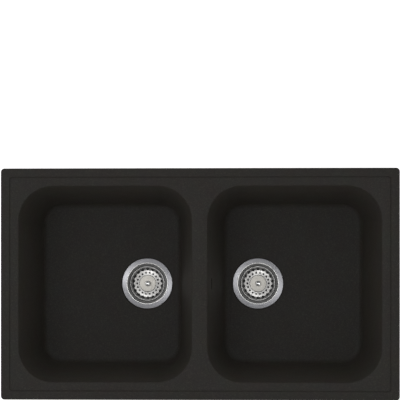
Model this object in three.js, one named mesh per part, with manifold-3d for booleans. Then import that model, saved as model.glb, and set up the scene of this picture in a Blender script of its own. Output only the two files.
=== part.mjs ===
// An inset kitchen sink with two bowls, moulded in quartz composite, with its basket strainer
// wastes, its overflow and the clamps that hold it in the cut-out of a worktop.
//
// Millimetres. +X runs along the sink, +Y to its back edge and +Z up. The origin is the middle
// of the sink on the top face of the worktop, where the underside of the rim rests.

import * as THREE from "three";
import { mergeVertices } from "three/addons/utils/BufferGeometryUtils.js";
import Module from "manifold-3d";

const wasm = await Module();
wasm.setup();

// ---------------------------------------------------------------- driving dimensions

// Fits
const SEAT_GAP = 0.3; // between two pieces that touch
const HOLE_GAP = 0.4; // round a screw, bolt or stem in its hole

// Rim
const RIM_LENGTH = 860;
const RIM_WIDTH = 500;
const RIM_HEIGHT = 8; // of the raised border above the worktop
const RIM_CORNER = 8; // radius of the corners in plan
const RIM_EDGE = 2.5; // rounding of the upper edge
const BORDER_WIDTH = 18; // of the raised border
const BORDER_CORNER = 7; // radius of its inner corners
const DECK_DROP = 1.5; // from the border down to the deck
const STEP_RUN = 1; // width of the slope between the two

// Bowls
const LEDGE = 38.5; // from the edge of the rim to an opening
const DIVIDER = 34; // between the two openings
const BOWL_CORNER = 75;
const LIP_RADIUS = 3;
const BOWL_DEPTH = 190; // from the top of the border to the outer edge of the floor
const DRAFT = THREE.MathUtils.degToRad(10);
const FLOOR_FILLET = 13;
const FLOOR_FALL = 3; // from the edge of the floor to the drain recess
const WALL = 8;
const SHOULDER = 4; // fillet under the rim, round a bowl

// Drains
const DRAIN_FROM_DIVIDER = 108.5; // from the divider's side of an opening to the drain's axis
const DRAIN_CLEARANCE = 1; // between the cup's mouth and the drain hole
const RECESS_DEPTH = 2.5;
const RECESS_MARGIN = 1.5; // round the flange
const RECESS_DRAFT = 0.5;
const PAD_MARGIN = 6; // flat underside beyond the waste's flange
const PAD_DROP = 1; // of that flat below the recess's own wall thickness

// Pressed strainer cup
const CUP_SHEET = 1.2;
const FLANGE_WIDTH = 12; // from the mouth out
const FLANGE_CROWN = 0.6; // rise of the flange to its inner crest
const FLANGE_CREST = 1.8; // from that crest in to the mouth
const MOUTH_FLARE = 4.8; // from the neck out to the mouth
const NECK_DEPTH = 8; // from the flange down to the narrow of the cup
const NECK_RADIUS = 40.2;
const CUP_DEPTH = 28; // from the flange to the cup's floor
const CUP_DRAFT = 0.6; // narrowing of the cup's wall below the neck
const SEAT_RISE = 6.5; // height of the cone that the plug seals on
const SEAT_RUN = 6.6; // width of that cone
const HUB_DISH = 11; // radius of the dish round the bolt
const DISH_DEPTH = 3.5;
const DISH_SLOPE = 2;
const CUP_OPENINGS = 9; // two thirds of the way round, with a spoke between each two
const CUP_FLOOR_EDGE = 3; // from the edge of the cup's floor in to these openings
const CUP_OPENING_INNER = 14; // radius

// Strainer basket
const BASKET_SHEET = 1;
const BASKET_CLEARANCE = 1.3; // between its rim and the cup's neck
const BASKET_SINK = 5; // from the flange down to the basket's rim
const BASKET_ROLL = 1.2; // width of the rolled rim
const BASKET_DEPTH = 14.5; // from the rim to the floor's upper face
const BASKET_LEAN = 7.5; // from the rim in to the flat floor
const BASKET_HEEL = 2.2; // rounding between floor and wall
const PAD_RADIUS = 18.5; // raised middle of the floor
const PAD_RISE = 0.8;
const PAD_SLOPE = 1.1;
const SLOTS = 18;
const RIB_WIDTH = 3.8; // of the ribs between the slots, at the floor
const SLOT_ON_FLOOR = 2.4; // how far the slots come in over the floor
const SLOT_BAND = 3.6; // height of the solid band above the slots
const HOLES_FROM_SLOTS = 5; // from the slots in to the middles of the round holes
const BASKET_HOLE_RADIUS = 2;

// Knob, stem and plug
const KNOB_RADIUS = 6;
const KNOB_HEIGHT = 12.5;
const KNOB_CAP = 5; // height of the mushroom
const KNOB_NECK = 3.7; // radius
const KNOB_FLARE = 1; // of the neck, at its foot and under the mushroom
const STEM_RADIUS = 2;
const STEM_IN_KNOB = 7;
const COLLAR_RADIUS = 6;
const COLLAR_HEIGHT = 1.4;
const PLUG_THICKNESS = 2.8;
const PLUG_LIP = 1.1; // height of the edge that seals
const PLUG_BEVEL = 0.4; // below that edge
const PLUG_DISH = 4; // width of the sloping edge
const RIVET_RADIUS = 4;
const RIVET_HEIGHT = 0.9;

// Waste body under the floor
const GASKET = 1; // thickness of the one under the flange
const WASHER = 3; // thickness of the one under the floor
const WASHER_CLEARANCE = 0.5; // between the barrel and the washer over its flange
const WASTE_FLANGE_WIDTH = 10.5;
const WASTE_FLANGE_THICKNESS = 4;
const WASTE_CLEARANCE = 3.1; // between the cup and the barrel round it
const WASTE_WALL = 3;
const WASTE_DEPTH = 39; // of the waste's barrel below its upper face
const WASTE_TAPER = 14; // height of the taper to the outlet
const WASTE_ROUND = 4; // rounding of the barrel's foot
const OUTLET_RADIUS = 23.9; // 1 1/2 inch pipe thread
const OUTLET_LENGTH = 32;
const HUB_RADIUS = 8.5;
const HUB_DROP = 23; // from the waste's upper face down to its hub
const HUB_HEIGHT = 18;
const WEBS = 3;
const WEB_THICKNESS = 3;
const WEB_DROP = 4; // from the hub's top to the webs
const WEB_HEIGHT = 11;

// Bolt and nut that clamp a cup to its waste
const BOLT_RADIUS = 3;
const BOLT_HEAD_RADIUS = 6.5;
const BOLT_HEAD = 2.6;
const BOLT_CHAMFER = 0.6;
const NUT_FLATS = 10;
const NUT_HEIGHT = 5;
const BOLT_PAST_NUT = 2;

// Overflow
const SLOT_BELOW_RIM = 50;
const SLOT_LENGTH = 26;
const SLOT_HEIGHT = 8;
const OVERFLOW_GASKET = 1.5;
const GASKET_MARGIN = 2; // from the slot to the gasket's hole
const OVERFLOW_PLATE = [72, 32]; // along the wall and up it
const OVERFLOW_PLATE_CORNER = 10;
const OVERFLOW_PLATE_THICKNESS = 2.5;
const CHAMBER = [44, 26];
const CHAMBER_DEPTH = 29; // from the wall
const CHAMBER_WALL = 2.2;
const OVERFLOW_SCREW_SPACING = 58;
const OVERFLOW_SCREW_RADIUS = 1.5;
const OVERFLOW_SCREW_HEAD = 3.8; // radius
const OVERFLOW_SCREW_HEAD_HEIGHT = 2.2;
const OVERFLOW_SCREW_BITE = 5; // into the sink's wall
const SPIGOT_DROP = 30; // from the slot's middle to the end of the housing's spigot
const INLET_DROP = 25; // from the waste's upper face to the axis of its inlet
const INLET_REACH = 62; // from the drain's axis to the end of the inlet

// Overflow hose, with a plain cuff at each end and ribs between them
const HOSE_RADIUS = 10.5;
const HOSE_VALLEY = 9;
const HOSE_BORE = 7.5;
const HOSE_CUFF = 12;
const HOSE_BEND = 40; // radius of the route
const RIB_PITCH = 5;
const HOSE_SIDES = 8;
const HOSE_NUT_RADIUS = 13.2;
const HOSE_NUT_HEIGHT = 18;
const HOSE_NUT_FLUTES = 10;
const HOSE_NUT_FLUTE_DEPTH = 0.8;

// Seal under the rim
const SEAL_INSET = 2.5; // from the edge of the rim
const SEAL_WIDTH = 6;
const SEAL_HEIGHT = 1.6;

// Worktop clamps
const CLAMPS_ALONG = 3; // on each long side
const CLAMP_FROM_END = 140; // from the rim's end to the outer clamps on a long side
const CLAMP_INSET = 20; // from the edge of the rim to a clamp's screw
const BOSS_WIDTH = 16;
const BOSS_OUT = 8; // from the screw towards the edge of the rim
const BOSS_IN = 16; // and towards the bowl
const BOSS_HEIGHT = 14;
const BOSS_DRAFT = 0.7;
const CLIP_WIDTH = 14;
const CLIP_SHEET = 2;
const CLIP_DROP = 33; // from the rim's underside to the clip's arm
const CLIP_ARM = 32; // from the screw to the clip's tip
const CLIP_HEEL = 7; // from the screw to the back of its heel
const CLIP_TIP = 3; // height of the upturned tip
const CLIP_BEND = 1.5; // inside radius of its bends
const SCREW_RADIUS = 2.5;
const SCREW_TOP = 1.5; // the screw's end above the rim's underside
const SCREW_HEAD_RADIUS = 5;
const SCREW_HEAD_HEIGHT = 3.5;

// Facets
const CORNER_STEPS = 7; // per quarter of a bowl's outline
const RIM_STEPS = 4; // per quarter of the rim's outline
const HIDDEN_STEPS = 20; // round a gasket or a waste
const PIPE_STEPS = 16; // round a spigot or a knob
const SMALL_STEPS = 10;
const SCREW_STEPS = 8;

// ---------------------------------------------------------------- worked-out sizes

const DECK_TOP = RIM_HEIGHT - DECK_DROP;
const WALL_TOP = DECK_TOP - LIP_RADIUS;
const OPENING_LENGTH = (RIM_LENGTH - 2 * LEDGE - DIVIDER) / 2;
const OPENING_WIDTH = RIM_WIDTH - 2 * LEDGE;
const BOWL_X = (DIVIDER + OPENING_LENGTH) / 2;
const DRAIN_X = DIVIDER / 2 + DRAIN_FROM_DIVIDER;

const FLOOR_EDGE = RIM_HEIGHT - BOWL_DEPTH;
const FLOOR_LOW = FLOOR_EDGE - FLOOR_FALL;
const RECESS_FLOOR = FLOOR_LOW - RECESS_DEPTH;
const PAD_FACE = RECESS_FLOOR - WALL - PAD_DROP;

const MOUTH_RADIUS = NECK_RADIUS + MOUTH_FLARE;
const FLANGE_RADIUS = MOUTH_RADIUS + FLANGE_WIDTH;
const DRAIN_HOLE = MOUTH_RADIUS + DRAIN_CLEARANCE;
const CUP_FLOOR = NECK_RADIUS - CUP_DRAFT - SEAT_RUN;
const CUP_OPENING_OUTER = CUP_FLOOR - CUP_FLOOR_EDGE;
const FLANGE_UNDER = RECESS_FLOOR + GASKET + 2 * SEAT_GAP;
const FLANGE_TOP = FLANGE_UNDER + CUP_SHEET;
const CUP_FLOOR_TOP = FLANGE_TOP - CUP_DEPTH;
const DISH_TOP = CUP_FLOOR_TOP - DISH_DEPTH;

const BASKET_RADIUS = NECK_RADIUS - BASKET_CLEARANCE;
const BASKET_FLOOR = BASKET_RADIUS - BASKET_LEAN;
const SLOT_REACH = BASKET_FLOOR - SLOT_ON_FLOOR;
const BASKET_HOLE_CIRCLE = SLOT_REACH - HOLES_FROM_SLOTS;
const BASKET_TOP = FLANGE_TOP - BASKET_SINK;
const BASKET_FLOOR_TOP = BASKET_TOP - BASKET_DEPTH;
const BASKET_UNDER = BASKET_FLOOR_TOP - BASKET_SHEET;
const PAD_TOP = BASKET_FLOOR_TOP + PAD_RISE;
const PAD_UNDER = PAD_TOP - BASKET_SHEET;
const KNOB_FOOT = PAD_TOP + SEAT_GAP;

const WASTE_RADIUS = NECK_RADIUS + CUP_SHEET + WASTE_CLEARANCE + WASTE_WALL;
const WASTE_FLANGE = WASTE_RADIUS + WASTE_FLANGE_WIDTH;
const WASTE_TOP = PAD_FACE - WASHER - 2 * SEAT_GAP;
const HUB_TOP = WASTE_TOP - HUB_DROP;
const HUB_FOOT = HUB_TOP - HUB_HEIGHT;
const BARREL_FOOT = WASTE_TOP - WASTE_DEPTH;
const OUTLET_TOP = BARREL_FOOT - WASTE_TAPER;
const OUTLET_FOOT = OUTLET_TOP - OUTLET_LENGTH;
const INLET_Z = WASTE_TOP - INLET_DROP;

const SLOT_Z = RIM_HEIGHT - SLOT_BELOW_RIM;
const SPIGOT_FOOT = SLOT_Z - SPIGOT_DROP;

// ---------------------------------------------------------------- materials

function finish(colour, roughness, metalness) {
  return () => new THREE.MeshStandardMaterial({ color: colour, roughness, metalness });
}

const composite = finish(0x302e2d, 0.65, 0);
const pressedSteel = finish(0xb9bab8, 0.32, 1);
const polishedSteel = finish(0xd2d3d2, 0.12, 1);
const zincSteel = finish(0xaab0b4, 0.4, 1);
const brass = finish(0xb59a5b, 0.3, 1);
const blackRubber = finish(0x1c1c1c, 0.8, 0);
const whitePlastic = finish(0xe4e4e0, 0.45, 0);
const greyPlastic = finish(0x9b9d9d, 0.5, 0);

// ---------------------------------------------------------------- shaping

// A rounded rectangle as a ring of points, anticlockwise seen from +Z.
function roundedRing(halfX, halfY, radius, z, centreX, steps) {
  const ring = [];
  for (let corner = 0; corner < 4; corner += 1) {
    const signX = corner === 0 || corner === 3 ? 1 : -1;
    const signY = corner < 2 ? 1 : -1;
    for (let step = 0; step <= steps; step += 1) {
      const angle = (corner + step / steps) * (Math.PI / 2);
      const x = centreX + signX * (halfX - radius) + radius * Math.cos(angle);
      const y = signY * (halfY - radius) + radius * Math.sin(angle);
      ring.push(new THREE.Vector3(x, y, z));
    }
  }
  return ring;
}

// A circle with as many points, and its first point half a step round, to match such a ring.
function circleRing(radius, z, centreX, count) {
  const ring = [];
  for (let i = 0; i < count; i += 1) {
    const angle = ((i + 0.5) / count) * 2 * Math.PI;
    ring.push(new THREE.Vector3(centreX + radius * Math.cos(angle), radius * Math.sin(angle), z));
  }
  return ring;
}

// The skin over a row of rings, each anticlockwise seen from the next. It is capped at both
// ends, or else its last ring is joined to its first.
function loft(rings, capped = true) {
  const count = rings[0].length;
  const points = rings.flat();
  const faces = [];
  const spans = capped ? rings.length - 1 : rings.length;
  for (let r = 0; r < spans; r += 1) {
    const low = r * count;
    const high = ((r + 1) % rings.length) * count;
    for (let i = 0; i < count; i += 1) {
      const next = (i + 1) % count;
      faces.push(low + i, low + next, high + next);
      faces.push(low + i, high + next, high + i);
    }
  }
  if (capped) {
    for (const [start, ring] of [[0, rings[0]], [(rings.length - 1) * count, rings.at(-1)]]) {
      const middle = ring.reduce((sum, p) => sum.add(p), new THREE.Vector3());
      points.push(middle.divideScalar(count));
      const hub = points.length - 1;
      for (let i = 0; i < count; i += 1) {
        const next = (i + 1) % count;
        faces.push(hub, start + (start ? i : next), start + (start ? next : i));
      }
    }
  }
  const geometry = new THREE.BufferGeometry().setFromPoints(points);
  geometry.setIndex(faces);
  geometry.computeVertexNormals();
  return geometry;
}

// A profile in the (radius, height) plane, anticlockwise, turned about +Z. It starts and ends
// on the axis, or is closed on itself.
function revolve(profile, steps) {
  const points = profile.map(([radius, z]) => new THREE.Vector2(radius, z));
  const onAxis = points[0].x === 0 && points.at(-1).x === 0;
  if (!onAxis) points.push(points[0].clone());
  return new THREE.LatheGeometry(points, steps).rotateX(Math.PI / 2);
}

// The other face of a pressed sheet, one thickness below the upper one's profile.
function underside(upper, thickness) {
  return upper.map(([radius, z], i) => {
    const [r0, z0] = upper[Math.max(i - 1, 0)];
    const [r1, z1] = upper[Math.min(i + 1, upper.length - 1)];
    const before = new THREE.Vector2(radius - r0, z - z0).normalize();
    const after = new THREE.Vector2(r1 - radius, z1 - z).normalize();
    const along = before.clone().add(after).normalize();
    const edge = before.length() > 0 ? before : after;
    const reach = thickness / Math.max(along.dot(edge), 0.5);
    return [radius - along.y * reach, z + along.x * reach];
  });
}

// A round pressing. Its upper profile runs from the outer edge in, and its facets lie in bands
// between the profile's points and in columns that start at the given angles. Each cell that
// `isOpen` names is punched out.
function pressing(upper, thickness, angles, isOpen) {
  const columns = angles.length;
  const points = [];
  for (const profile of [upper, underside(upper, thickness)]) {
    for (const [radius, z] of profile) {
      for (const angle of angles) {
        points.push(new THREE.Vector3(radius * Math.cos(angle), radius * Math.sin(angle), z));
      }
    }
  }
  const bands = upper.length - 1;
  const below = upper.length * columns;
  const at = (j, i) => j * columns + (i % columns);
  const solidAt = (j, i) => j >= 0 && j < bands && !isOpen(j, (i + columns) % columns);
  const corners = [];
  const quad = (a, b, c, d) => corners.push(a, b, c, a, c, d);
  for (let j = 0; j < bands; j += 1) {
    for (let i = 0; i < columns; i += 1) {
      if (!solidAt(j, i)) continue;
      const [a, b, c, d] = [at(j, i), at(j, i + 1), at(j + 1, i + 1), at(j + 1, i)];
      quad(a, b, c, d);
      quad(a + below, d + below, c + below, b + below);
      if (!solidAt(j - 1, i)) quad(b, a, a + below, b + below);
      if (!solidAt(j, i + 1)) quad(c, b, b + below, c + below);
      if (!solidAt(j + 1, i)) quad(d, c, c + below, d + below);
      if (!solidAt(j, i - 1)) quad(a, d, d + below, a + below);
    }
  }
  const geometry = new THREE.BufferGeometry().setFromPoints(points);
  geometry.setIndex(corners);
  geometry.computeVertexNormals();
  return geometry;
}

// A flat plate from z = 0 up: a shape, less its holes, given a depth.
function plate(shape, holes, depth, segments = SMALL_STEPS) {
  shape.holes.push(...holes);
  const settings = { depth, bevelEnabled: false, curveSegments: segments };
  return new THREE.ExtrudeGeometry(shape, settings);
}

function roundedShape(halfX, halfY, radius, steps) {
  const ring = roundedRing(halfX, halfY, radius, 0, 0, steps);
  return new THREE.Shape(ring.map((p) => new THREE.Vector2(p.x, p.y)));
}

function discShape(radius, sides, x = 0, y = 0) {
  const ring = circleRing(radius, 0, x, sides);
  return new THREE.Shape(ring.map((p) => new THREE.Vector2(p.x, p.y + y)));
}

function cylinder(radius, bottom, top, sides) {
  return loft([circleRing(radius, bottom, 0, sides), circleRing(radius, top, 0, sides)]);
}

function solid(geometry) {
  const bare = geometry.clone();
  bare.deleteAttribute("normal");
  bare.deleteAttribute("uv");
  const merged = mergeVertices(bare, 1e-4);
  const corners = merged.index.array;
  const kept = [];
  for (let i = 0; i < corners.length; i += 3) {
    const [a, b, c] = corners.slice(i, i + 3);
    if (a !== b && b !== c && c !== a) kept.push(a, b, c);
  }
  return new wasm.Manifold(
    new wasm.Mesh({
      numProp: 3,
      vertProperties: merged.attributes.position.array,
      triVerts: new Uint32Array(kept),
    }),
  );
}

function geometryOf(body) {
  const { vertProperties, triVerts } = body.getMesh();
  const geometry = new THREE.BufferGeometry();
  geometry.setAttribute("position", new THREE.BufferAttribute(vertProperties, 3));
  geometry.setIndex(new THREE.BufferAttribute(triVerts, 1));
  geometry.computeVertexNormals();
  return geometry;
}

function unite(bodies) {
  return bodies.reduce((whole, body) => whole.add(body));
}

function cut(body, tools) {
  return tools.reduce((rest, tool) => rest.subtract(tool), body);
}

function addMesh(parent, name, geometry, material) {
  const mesh = new THREE.Mesh(geometry, material());
  mesh.name = name;
  parent.add(mesh);
  return mesh;
}

// ---------------------------------------------------------------- sink body

// Distance from an opening's edge in to the bowl's wall, at a height.
function wallInset(z) {
  return (WALL_TOP - z) * Math.tan(DRAFT);
}

function bowlRing(side, inset, z) {
  const radius = BOWL_CORNER - inset;
  const halfX = OPENING_LENGTH / 2 - inset;
  const halfY = OPENING_WIDTH / 2 - inset;
  return roundedRing(halfX, halfY, radius, z, side * BOWL_X, CORNER_STEPS);
}

function drainRing(side, radius, z) {
  return circleRing(radius, z, side * DRAIN_X, 4 * (CORNER_STEPS + 1));
}

// Rings round the fillet between floor and wall, from the floor up, on a face that lies
// `thickness` outside the bowl's inner one.
function filletRings(side, thickness, steps) {
  const radius = FLOOR_FILLET + thickness;
  const centreZ = FLOOR_EDGE + FLOOR_FILLET;
  const centreInset = radius / Math.cos(DRAFT) + wallInset(centreZ) - thickness;
  const rings = [];
  for (let step = 0; step <= steps; step += 1) {
    const angle = THREE.MathUtils.lerp(1.5 * Math.PI, Math.PI + DRAFT, step / steps);
    const inset = centreInset + radius * Math.cos(angle);
    rings.push(bowlRing(side, inset, centreZ + radius * Math.sin(angle)));
  }
  return rings;
}

// The space inside a bowl, from below the drain hole to above the deck.
function bowlSpace(side) {
  const recess = FLANGE_RADIUS + RECESS_MARGIN;
  const rings = [
    drainRing(side, DRAIN_HOLE, PAD_FACE - WALL),
    drainRing(side, DRAIN_HOLE, RECESS_FLOOR),
    drainRing(side, recess, RECESS_FLOOR),
    drainRing(side, recess + RECESS_DRAFT, FLOOR_LOW),
    ...filletRings(side, 0, 4),
  ];
  const lipSteps = 3;
  for (let step = 0; step <= lipSteps; step += 1) {
    const angle = (step / lipSteps) * (Math.PI / 2);
    const inset = LIP_RADIUS * (Math.cos(angle) - 1);
    rings.push(bowlRing(side, inset, WALL_TOP + LIP_RADIUS * Math.sin(angle)));
  }
  rings.push(bowlRing(side, -LIP_RADIUS, RIM_HEIGHT + LIP_RADIUS));
  return solid(loft(rings));
}

// The outside of a bowl, from the flat pad under its drain up into the rim.
function bowlShell(side) {
  const pad = WASTE_FLANGE + PAD_MARGIN;
  const rings = [drainRing(side, pad, PAD_FACE), ...filletRings(side, WALL, 3)];
  const shoulderSteps = 2;
  for (let step = 0; step <= shoulderSteps; step += 1) {
    const angle = (step / shoulderSteps) * (Math.PI / 2);
    const inset = wallInset(-SHOULDER) - WALL - SHOULDER * (1 - Math.cos(angle));
    rings.push(bowlRing(side, inset, SHOULDER * (Math.sin(angle) - 1)));
  }
  rings.push(bowlRing(side, wallInset(-SHOULDER) - WALL - SHOULDER, DECK_TOP / 2));
  return solid(loft(rings));
}

// The rim's plate: rounded at its upper edge, with the deck let in behind the raised border.
function rimPlate() {
  const ringAt = (inset, radius, z) =>
    roundedRing(RIM_LENGTH / 2 - inset, RIM_WIDTH / 2 - inset, radius, z, 0, RIM_STEPS);
  const rings = [ringAt(0, RIM_CORNER, 0)];
  const edgeSteps = 3;
  for (let step = 0; step <= edgeSteps; step += 1) {
    const angle = (step / edgeSteps) * (Math.PI / 2);
    const inset = RIM_EDGE * (1 - Math.cos(angle));
    const z = RIM_HEIGHT - RIM_EDGE * (1 - Math.sin(angle));
    rings.push(ringAt(inset, RIM_CORNER - inset, z));
  }
  rings.push(ringAt(BORDER_WIDTH, BORDER_CORNER, RIM_HEIGHT));
  rings.push(ringAt(BORDER_WIDTH + STEP_RUN, BORDER_CORNER - STEP_RUN, DECK_TOP));
  return solid(loft(rings));
}

// The band of the seal's groove, or of the seal itself, `clear` narrower on each side.
function sealBand(clear, bottom, top) {
  const outline = (inset) => {
    const radius = Math.max(RIM_CORNER - inset, 1);
    return roundedShape(RIM_LENGTH / 2 - inset, RIM_WIDTH / 2 - inset, radius, RIM_STEPS);
  };
  const inner = outline(SEAL_INSET + SEAL_WIDTH - clear);
  const band = plate(outline(SEAL_INSET + clear), [inner], top - bottom);
  return band.translate(0, 0, bottom);
}

// Where the clamps' screws stand, and the direction from each out to the rim's edge.
function clampPlaces() {
  const endX = RIM_LENGTH / 2 - CLAMP_INSET;
  const sideY = RIM_WIDTH / 2 - CLAMP_INSET;
  const reach = RIM_LENGTH / 2 - CLAMP_FROM_END;
  const along = [];
  for (let i = 0; i < CLAMPS_ALONG; i += 1) {
    along.push(THREE.MathUtils.lerp(-reach, reach, i / (CLAMPS_ALONG - 1)));
  }
  return [
    ...along.map((x) => ({ x, y: -sideY, outward: -Math.PI / 2 })),
    { x: endX, y: 0, outward: 0 },
    ...along.map((x) => ({ x: -x, y: sideY, outward: Math.PI / 2 })),
    { x: -endX, y: 0, outward: Math.PI },
  ];
}

// A boss under the rim, and the blind hole up into it for the clamp's screw.
function clampBoss({ x, y, outward }) {
  const middle = (BOSS_OUT - BOSS_IN) / 2;
  const halfX = (BOSS_OUT + BOSS_IN) / 2;
  const ringAt = (grow, z) =>
    roundedRing(halfX + grow, BOSS_WIDTH / 2 + grow, 2, z, middle, 2);
  const boss = loft([ringAt(0, -BOSS_HEIGHT), ringAt(BOSS_DRAFT, DECK_TOP / 2)]);
  return solid(boss.rotateZ(outward).translate(x, y, 0));
}

function clampHole({ x, y }) {
  const top = SCREW_TOP + SEAT_GAP;
  const hole = cylinder(SCREW_RADIUS + SEAT_GAP, -BOSS_HEIGHT - 1, top, SMALL_STEPS);
  return solid(hole.translate(x, y, 0));
}

// A frame on the outer face of the right bowl's wall at the divider: x along the wall, y up it
// and z out of it, with its origin at the overflow slot's middle.
function overflowFrame() {
  const wall = DIVIDER / 2 + wallInset(SLOT_Z) - WALL;
  const along = new THREE.Vector3(0, -1, 0);
  const up = new THREE.Vector3(-Math.sin(DRAFT), 0, Math.cos(DRAFT));
  const out = new THREE.Vector3().crossVectors(along, up);
  return new THREE.Matrix4().makeBasis(along, up, out).setPosition(wall, 0, SLOT_Z);
}

function stadium(length, height) {
  return roundedShape(length / 2, height / 2, height / 2 - 0.01, 4);
}

function overflowSlot() {
  const through = plate(stadium(SLOT_LENGTH, SLOT_HEIGHT), [], 3 * WALL);
  return solid(through.translate(0, 0, -2 * WALL).applyMatrix4(overflowFrame()));
}

function overflowPilot(sign) {
  const depth = OVERFLOW_SCREW_BITE + SEAT_GAP;
  const hole = cylinder(OVERFLOW_SCREW_RADIUS + SEAT_GAP, -depth, 1, SCREW_STEPS);
  hole.translate((sign * OVERFLOW_SCREW_SPACING) / 2, 0, 0);
  return solid(hole.applyMatrix4(overflowFrame()));
}

function sinkBody() {
  const outside = unite([
    rimPlate(),
    bowlShell(-1),
    bowlShell(1),
    ...clampPlaces().map(clampBoss),
  ]);
  return cut(outside, [
    bowlSpace(-1),
    bowlSpace(1),
    solid(sealBand(-SEAT_GAP, -1, SEAL_HEIGHT + SEAT_GAP)),
    overflowSlot(),
    overflowPilot(-1),
    overflowPilot(1),
    ...clampPlaces().map(clampHole),
  ]);
}

// ---------------------------------------------------------------- strainer waste

function washerRing(inner, outer, bottom, thickness, steps) {
  const top = bottom + thickness;
  return revolve([[inner, bottom], [outer, bottom], [outer, top], [inner, top]], steps);
}

// Radius of the cup's inner face at a height on the cone that the plug seals on.
function seatRadius(z) {
  const share = (z - CUP_FLOOR_TOP) / SEAT_RISE;
  return THREE.MathUtils.lerp(CUP_FLOOR, NECK_RADIUS - CUP_DRAFT, share);
}

// One pressing: the flange on its gasket, the steep mouth, the cup, the cone that the plug seals
// on, the floor with its ring of openings, and the dish round the bolt.
function strainerCup() {
  const profile = [
    [FLANGE_RADIUS, FLANGE_TOP],
    [MOUTH_RADIUS + FLANGE_CREST, FLANGE_TOP + FLANGE_CROWN],
    [MOUTH_RADIUS, FLANGE_TOP - FLANGE_CROWN],
    [NECK_RADIUS, FLANGE_TOP - NECK_DEPTH],
    [NECK_RADIUS - CUP_DRAFT, CUP_FLOOR_TOP + SEAT_RISE],
    [CUP_FLOOR, CUP_FLOOR_TOP],
    [CUP_OPENING_OUTER, CUP_FLOOR_TOP],
    [CUP_OPENING_INNER, CUP_FLOOR_TOP],
    [HUB_DISH, CUP_FLOOR_TOP],
    [HUB_DISH - DISH_SLOPE, DISH_TOP],
    [BOLT_RADIUS + HOLE_GAP, DISH_TOP],
  ];
  const openBand = profile.findIndex(([radius]) => radius === CUP_OPENING_OUTER);
  const isOpen = (band, column) => band === openBand && column % 3 !== 0;
  const angles = [];
  for (let i = 0; i < 3 * CUP_OPENINGS; i += 1) {
    angles.push(((i - 0.5) / (3 * CUP_OPENINGS)) * 2 * Math.PI);
  }
  return pressing(profile, CUP_SHEET, angles, isOpen);
}

// One pressing: a rolled rim, a wall that slopes in, and a flat floor with a raised middle. The
// slots run from the floor round the heel and up the wall, so that the ribs between them stand
// out as a star, and a round hole lies in front of each rib.
function strainerBasket() {
  const slotTop = BASKET_TOP - SLOT_BAND;
  const wallTop = [BASKET_RADIUS - BASKET_ROLL - BASKET_SHEET / 2, BASKET_TOP - BASKET_ROLL];
  const heelTop = [BASKET_FLOOR + BASKET_HEEL, BASKET_FLOOR_TOP + BASKET_HEEL];
  const share = (wallTop[1] - slotTop) / (wallTop[1] - heelTop[1]);
  const profile = [
    [BASKET_RADIUS, BASKET_TOP - BASKET_ROLL],
    [BASKET_RADIUS - BASKET_ROLL / 2, BASKET_TOP],
    wallTop,
    [THREE.MathUtils.lerp(wallTop[0], heelTop[0], share), slotTop],
    heelTop,
    [BASKET_FLOOR, BASKET_FLOOR_TOP],
    [SLOT_REACH, BASKET_FLOOR_TOP],
    [PAD_RADIUS + PAD_SLOPE, BASKET_FLOOR_TOP],
    [PAD_RADIUS, PAD_TOP],
    [STEM_RADIUS + HOLE_GAP, PAD_TOP],
  ];
  const isOpen = (band, column) => band >= 3 && band <= 5 && column % 2 === 1;
  const pitch = (2 * Math.PI) / SLOTS;
  const rib = RIB_WIDTH / BASKET_FLOOR;
  const angles = [];
  for (let i = 0; i < SLOTS; i += 1) angles.push(i * pitch - rib / 2, i * pitch + rib / 2);
  const body = solid(pressing(profile, BASKET_SHEET, angles, isOpen));
  const holes = [];
  for (let i = 0; i < SLOTS; i += 1) {
    const hole = cylinder(BASKET_HOLE_RADIUS, BASKET_UNDER - 1, PAD_TOP + 1, 6);
    hole.translate(BASKET_HOLE_CIRCLE, 0, 0).rotateZ(i * pitch);
    holes.push(solid(hole));
  }
  return cut(body, holes);
}

function basketKnob() {
  const bore = STEM_RADIUS + SEAT_GAP;
  const socketTop = KNOB_FOOT + STEM_IN_KNOB + SEAT_GAP;
  const capFoot = KNOB_FOOT + KNOB_HEIGHT - KNOB_CAP;
  const profile = [
    [0, socketTop],
    [bore, socketTop],
    [bore, KNOB_FOOT],
    [KNOB_NECK + KNOB_FLARE, KNOB_FOOT],
    [KNOB_NECK, KNOB_FOOT + KNOB_FLARE],
    [KNOB_NECK, capFoot - KNOB_FLARE],
  ];
  const steps = 4;
  for (let step = 0; step <= steps; step += 1) {
    const angle = THREE.MathUtils.lerp(-0.3, 1, step / steps) * (Math.PI / 2);
    const radius = step === steps ? 0 : KNOB_RADIUS * Math.cos(angle);
    profile.push([radius, capFoot + KNOB_CAP * (0.3 + 0.7 * Math.sin(angle))]);
  }
  return revolve(profile, PIPE_STEPS);
}

// The stem from the knob down to the plug, with a collar over the plug and a rivet head below.
function basketPost() {
  const collarTop = PAD_UNDER - SEAT_GAP;
  const collarFoot = plugTop() + SEAT_GAP;
  const rivetTop = plugFoot() - SEAT_GAP;
  const profile = [
    [0, rivetTop - RIVET_HEIGHT],
    [RIVET_RADIUS, rivetTop - RIVET_HEIGHT],
    [RIVET_RADIUS, rivetTop],
    [STEM_RADIUS, rivetTop],
    [STEM_RADIUS, collarFoot],
    [COLLAR_RADIUS, collarFoot],
    [COLLAR_RADIUS, collarTop],
    [STEM_RADIUS, collarTop],
    [STEM_RADIUS, KNOB_FOOT + STEM_IN_KNOB],
    [0, KNOB_FOOT + STEM_IN_KNOB],
  ];
  return revolve(profile, SMALL_STEPS);
}

function plugTop() {
  return PAD_UNDER - COLLAR_HEIGHT - 2 * SEAT_GAP;
}

function plugFoot() {
  return plugTop() - PLUG_THICKNESS;
}

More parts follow.
